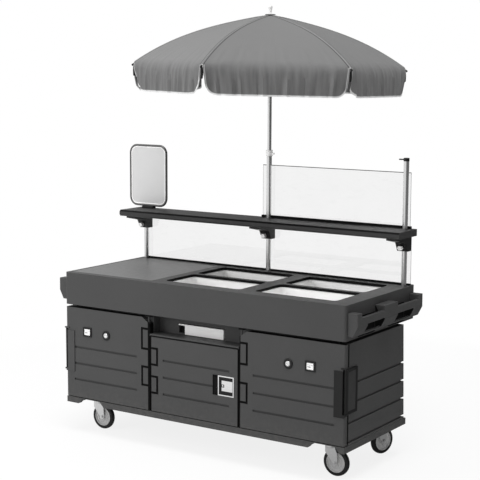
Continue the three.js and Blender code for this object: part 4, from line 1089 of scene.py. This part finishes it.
# castors: each stands at a place and is turned about by an angle
castorLook = dict(
    places=dict(
        front_left=(-0.846, -0.601, 0), front_right=(0.836, -0.601, 0), back_left=(-0.836, -0.109, 35),
        back_right=(0.868, -0.109, 70)),
    trail=0.033, axleHigh=0.080)
wheelLook = dict(
    painted=0.0587, spin=72,
    hub=((0.0063, 0.017), (0.0125, 0.017), (0.0130, 0.014), (0.019, 0.0135), (0.021, 0.012), (0.024, 0.0087),
         (0.034, 0.0075), (0.0355, 0.0090), (0.038, 0.0090), (0.0395, 0.0075), (0.0515, 0.0075),
         (0.054, 0.0115), (0.056, 0.0133), (0.0585, 0.0133)),
    tyre=((0.0589, 0.0145), (0.0625, 0.0151), (0.072, 0.0145), (0.0765, 0.0125), (0.079, 0.0085),
          (0.080, 0.0032), (0.0794, 0.0022), (0.0794, 0.0)))
forkLook = dict(
    edge=0.0009, nut=0.0095, nutDeep=0.0055, nutOut=0.0262, nutSteps=((0.0035, 0), (0.0004, 0.0022)),
    nutEdge=0.0007,
    race=((0.0, 0.1585), (0.020, 0.1585), (0.026, 0.1600), (0.0345, 0.1640), (0.0355, 0.1680),
          (0.0345, 0.1720), (0.0355, 0.1735), (0.0355, 0.1775), (0.0335, 0.1800), (0.0335, 0.1835),
          (0.0, 0.1835)))
castorPlateLook = dict(
    plate=((-0.052, -0.044, 0.1838), (0.052, 0.044, 0.1870)), edge=0.0012, boltAt=(0.040, 0.032, 0.1818),
    bolt=(0.0062, 0.0045))


def makeWheel(name, centre, axis, painted, spin, hub, tyre):
    side = hub + tyre
    profile = (*side, *((r, -h) for r, h in reversed(side[:-1])), side[0])
    wheel = turnedPiece("wheel." + name, profile, spin, centre, facing(axis))
    smooth(wheel, 30)
    dress(wheel, "wheel_" + name, "rubber", "hub", instead="castor_wheel_" + name)
    paint(wheel, 1, lambda c, n: ((c - centre) - axis * (c - centre).dot(axis)).length < painted)


def makeFork(name, centre, place, axis, edge, nut, nutDeep, nutOut, nutSteps, nutEdge, race):
    moulded("fork." + name, "castor_fork_" + name, edge, 2, "fork_" + name, "zinc")
    for step, way in enumerate((-1, 1)):
        piece = disc(f"axleNut.{name}.{step}", (0, 0, 0), nut, nutDeep, 6)
        insetFaces(piece, isTop, *nutSteps)
        roundEdges(piece, nutEdge)
        piece.rotation_euler = facing(axis * way)
        piece.location = centre + axis * way * nutOut
        settle(piece)
        smooth(piece)
        dress(piece, "fork_" + name, "zinc")
    turned("race." + name, race, 48, place, (0, 0, 0), "fork_" + name, "zinc")


def makeCastorPlate(name, place, plate, edge, boltAt, bolt):
    piece = box("castorPlate." + name, *(place + Vector(corner) for corner in plate))
    roundEdges(piece, edge)
    x, y, z = boltAt
    spots = [place + Vector((dx, dy, z)) for dx in (-x, x) for dy in (-y, y)]
    joinPieces(piece, *(disc("bolt", spot, *bolt, 6) for spot in spots))
    smooth(piece)
    dress(piece, "cart", "zinc")


def makeCastors(places, trail, axleHigh):
    for name, (x, y, turn) in places.items():
        angle = math.radians(turn)
        ahead = Vector((math.cos(angle), math.sin(angle), 0))
        axis = Vector((-ahead.y, ahead.x, 0))
        place = Vector((x, y, 0))
        centre = Vector((x + trail * ahead.x, y + trail * ahead.y, axleHigh))
        makeWheel(name, centre, axis, **wheelLook)
        makeFork(name, centre, place, axis, **forkLook)
        makeCastorPlate(name, place, **castorPlateLook)


makeCastors(**castorLook)
print("castors done")


# umbrella: hub, runner, bars and cloth
shade = dict(
    centre=(0.026, 0.0), turn=-84.8, ribs=6, radius=0.836, apex=2.585, drop=0.309, straightShare=0.54,
    hole=0.022, slit=0.007, slitFrom=0.008, edgeGap=0.00015, valance=0.170, flare=0.020, sag=0.007,
    eaves=(0.016, 0.055), eaveReach=0.22, bendFrom=0.03, tilt=(0.0158, 0.0105), thick=0.0016, welt=0.0024,
    corners=((0.12, 0.066), (0.058, 0.095), (0.035, 0.07), (0.066, 0.066), (0.066, 0.066), (0.05, 0.13)),
    waves=((0.045, 0.0042), (0.068, 0.0048), (0.121, 0.0040), (0.029, 0.0019)), drift=0.35, domeShare=0.22,
    liftReach=0.05, belly=0.006, curl=0.024, curlReach=0.13, colourReach=0.05, inward=0.05, foldKeep=0.16,
    domeRows=26, bendRows=8, flapRows=20, columns=34, bunch=1.3)
radius, slit, valance = (shade[key] for key in ("radius", "slit", "valance"))
clothEnd = radius / 2 - shade["edgeGap"]
axisX, axisY = shade["centre"]
acrossShare = math.cos(math.pi / 6)  # of a step along the eave, this goes across the rib and half goes inwards


def goreAngle(k):
    return math.radians(shade["turn"] + 60 * (k - 1))


def askew(point):
    # the canopy hangs a touch lower at its back right, as in the photo; the pole stays upright
    tiltX, tiltY = shade["tilt"]
    return Vector((point.x, point.y, point.z - tiltX * (point.x - axisX) - tiltY * (point.y - axisY)))


def toRow(k, point):
    # from the gore's own frame, its rib along +x, to the row frame
    x, y, z = point
    turnX, turnY = math.cos(goreAngle(k)), math.sin(goreAngle(k))
    return askew(Vector((axisX + x * turnX - y * turnY, axisY + x * turnY + y * turnX, z)))


def domeHeight(out):
    share, straight = out / radius, shade["straightShare"]
    return shade["apex"] - shade["drop"] * (straight * share + (1 - straight) * share ** 3)


def easeIn(value, low, high):
    share = min(max((value - low) / (high - low), 0), 1)
    return share * share * (3 - 2 * share)


def ripple(k, place, way):
    # the gathers are one pattern across the cut between two gores, so both read it from the cut
    boundary = (k - 1 if way > 0 else k - 2) % shade["ribs"]
    fromCut = place - way * radius / 2
    total = 0
    for step, (pitch, height) in enumerate(shade["waves"]):
        drift = shade["drift"] * math.sin(fromCut * 9 + boundary + step)
        total += height * math.sin(2 * math.pi * fromCut / pitch + 1.7 * boundary + 2.3 * step + drift)
    return total


def clothPoint(k, place, down):
    # down runs from the hole over the dome to the eave at the radius, and on down the flap
    along, way = abs(place), 1 if place >= 0 else -1
    if down <= radius:
        share = down / radius
        across = min(along / clothEnd, 1)
        sag = shade["sag"] * math.sin(math.pi * share) * (1 - (1 - across) ** 2)
        welt = shade["welt"] * max(0, 1 - (along / slit) ** 2) ** 2 * easeIn(share, 0.02, 0.1)
        lift = shade["domeShare"] * ripple(k, place, way) * easeIn(share, 0.72, 1.0)
        lift *= easeIn(along, 0.0, shade["liftReach"])
        height = domeHeight(down) - sag + welt + lift
        return Vector(((radius - along * 0.5) * share, place * acrossShare * share, height))
    share = min((down - radius) / valance, 1)
    out = ripple(k, place, way) * (0.15 + 0.85 * easeIn(share, 0.02, 0.7))
    out += shade["belly"] * math.sin(math.pi * share * 0.6)
    out -= shade["curl"] * easeIn(share, 0.1, 1.0) * (1 - easeIn(along - slit, 0, shade["curlReach"]))
    along += shade["flare"] * share * (clothEnd - along) / clothEnd
    angle = way * math.pi / 6
    x, y = radius - along * 0.5 + out * math.cos(angle), way * along * acrossShare + out * math.sin(angle)
    return Vector((x, y, domeHeight(radius) - (down - radius)))


def eaveAt(place):
    # the bend over the eave is tight at a rib and slack between two ribs
    tight, slack = shade["eaves"]
    return tight + (slack - tight) * easeIn(abs(place), shade["bendFrom"], shade["eaveReach"])


def cornerCut(k, place):
    # how far the flap's lower corner is cut round, on each side of a rib
    return shade["corners"][k - 1][1 if place >= 0 else 0]


def flapHeight(along, corner):
    inside = max(corner - (along - slit), 0)
    return valance - corner + math.sqrt(corner ** 2 - inside ** 2)


def clothColumns():
    count, bunch = shade["columns"], shade["bunch"]
    half = [slit * 0.5] + [slit + (clothEnd - slit) * (i / count) ** bunch for i in range(count + 1)]
    return [-place for place in reversed(half)] + [0.0] + half


def columnPoints(k, place):
    # the cloth's points down one column, each with its distance from the hole
    hole, domeRows, bendRows, flapRows = (shade[key] for key in ("hole", "domeRows", "bendRows", "flapRows"))
    along, eave = abs(place), eaveAt(place)
    height = flapHeight(max(along, slit), cornerCut(k, place))
    span = radius - eave - hole
    for row in range(domeRows + 1):
        down = hole + span * (row / domeRows)
        yield down, clothPoint(k, place, down)
    start, corner, under = (clothPoint(k, place, radius + way * eave) for way in (-1, 0, 1))
    for row in range(bendRows):
        t = (row + 1) / bendRows
        yield radius - eave + 2 * eave * t, start * (1 - t) ** 2 + corner * 2 * t * (1 - t) + under * t * t
    for row in range(flapRows):
        down = radius + eave + (height - eave) * ((row + 1) / flapRows)
        yield down, clothPoint(k, place, down)


def toFlapEdge(k, place, down):
    # the distance to the flap's free edge, round its corner too, for the bound edge
    inset = cornerCut(k, place)
    side, foot = abs(place) - slit, valance - (down - radius)
    if down < radius:
        side += shade["inward"]
    if side < inset and foot < inset:
        return inset - math.hypot(inset - side, inset - foot)
    return min(side, foot)


def canopyMesh(k):
    places = clothColumns()
    points, maps, grid = [], [], {}
    for column, place in enumerate(places):
        for row, (down, point) in enumerate(columnPoints(k, place)):
            # the slit at the rib parts the flap
            if down > radius + shade["slitFrom"] and abs(place) < slit * 0.99:
                continue
            grid[row, column] = len(points)
            points.append(toRow(k, point))
            reach = shade["colourReach"]
            maps.append((
                (place * min(down / radius, 1), down),
                (max(toFlapEdge(k, place, down), 0), easeIn(down, radius - reach, radius + reach))))
    quads = []
    for row in range(max(row for row, column in grid)):
        for column in range(len(places) - 1):
            corners = [(row, column), (row + 1, column), (row + 1, column + 1), (row, column + 1)]
            if all(corner in grid for corner in corners):
                quads.append([grid[corner] for corner in corners])
    mesh = bpy.data.meshes.new(f"canopyGore.{k}")
    mesh.from_pydata(points, [], quads)
    for index, name in enumerate(("cloth", "edge")):
        layer = mesh.uv_layers.new(name=name)
        for loop in mesh.loops:
            layer.data[loop.index].uv = maps[loop.vertex_index][index]
    mesh.update()
    return mesh


def makeGore(k):
    mesh = canopyMesh(k)
    gore = newPiece(f"canopyGore.{k}", mesh)
    work(gore, "EDIT")
    bpy.ops.mesh.select_all(action="SELECT")
    bpy.ops.mesh.normals_make_consistent(inside=False)
    bpy.ops.object.mode_set(mode="OBJECT")
    if sum(polygon.normal.z * polygon.area for polygon in mesh.polygons) < 0:
        mesh.flip_normals()
    addModifier(gore, "SOLIDIFY", thickness=shade["thick"], offset=-1, use_even_offset=False)
    smooth(gore, 50, weighted=False)
    dress(gore, f"rib_{k}", "canvas", instead=f"canopy_panel_{k}")
    out = radius / 2
    domeHeight(out)
    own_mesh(gore)
    heights = [domeHeight(radius * i / 40) for i in range(41)]
    length = sum(math.hypot(radius / 40, heights[i] - heights[i + 1]) for i in range(40)) + valance


barLook = dict(
    edge=0.0009, tipStart=0.812, tipEnd=0.8435, tipRadius=0.0062, underCloth=0.0118, tongue=0.062,
    tongueAt=(0.014, 0.002), tongueHalf=0.0075, tongueNeck=0.0060)


def makeBar(name, node, body, edge):
    bar = copyOf(name, node)
    soften(bar, edge)
    for vertex in bar.data.vertices:
        vertex.co = askew(vertex.co)
    dress(bar, body, "tube", instead=node)


def makeRib(k, edge, tipStart, tipEnd, tipRadius, underCloth, tongue, tongueAt, tongueHalf, tongueNeck):
    makeBar(f"ribBar.{k}", f"umbrella_rib_{k}", f"rib_{k}", edge)
    level = domeHeight(tipEnd) - underCloth
    slope = math.atan2(domeHeight(tipStart) - domeHeight(tipEnd), tipEnd - tipStart)
    length = (tipEnd - tipStart) / math.cos(slope)
    tip = (
        (0.0, -length), (tipRadius, -length), (tipRadius, -0.004), (tipRadius * 0.86, -0.0014),
        (tipRadius * 0.5, -0.0002), (0.0, 0.0))
    strap = (
        (0.0, 0.0), (tongueNeck, 0.001), (tongueHalf, tongue * 0.4), (tongueNeck, tongue - 0.004),
        (0.0, tongue))
    back, under = tongueAt
    for name, profile, steps, place, way in (
            ("ribTip", tip, 20, (tipEnd, 0, level), (math.cos(slope), 0, -math.sin(slope))),
            ("ribTongue", strap, 16, (tipEnd - back, 0, level - under), (0, 0, -1))):
        ahead = (toRow(k, way) - toRow(k, (0, 0, 0))).normalized()
        turned(f"{name}.{k}", profile, steps, toRow(k, place), facing(ahead), f"rib_{k}", "black")


hubLook = dict(edge=0.0012, band=(2.575, 2.5875))


def makeHub(edge, band):
    hub = moulded("crownHub", "umbrella_crown", edge, 2, "pole", "white", "inset")
    paint(hub, 1, lambda c, n: band[0] < c.z < band[1])
    moulded("runnerSleeve", "umbrella_runner", edge, 2, "runner", "black")
    moulded("mastCollar", "lock_collar", edge, 2, "collar", "white")


makeHub(**hubLook)
for k in range(1, shade["ribs"] + 1):
    makeRib(k, **barLook)
    makeBar(f"stretcherBar.{k}", f"umbrella_stretcher_{k}", f"stretcher_{k}", barLook["edge"])
    makeGore(k)
print("umbrella done")
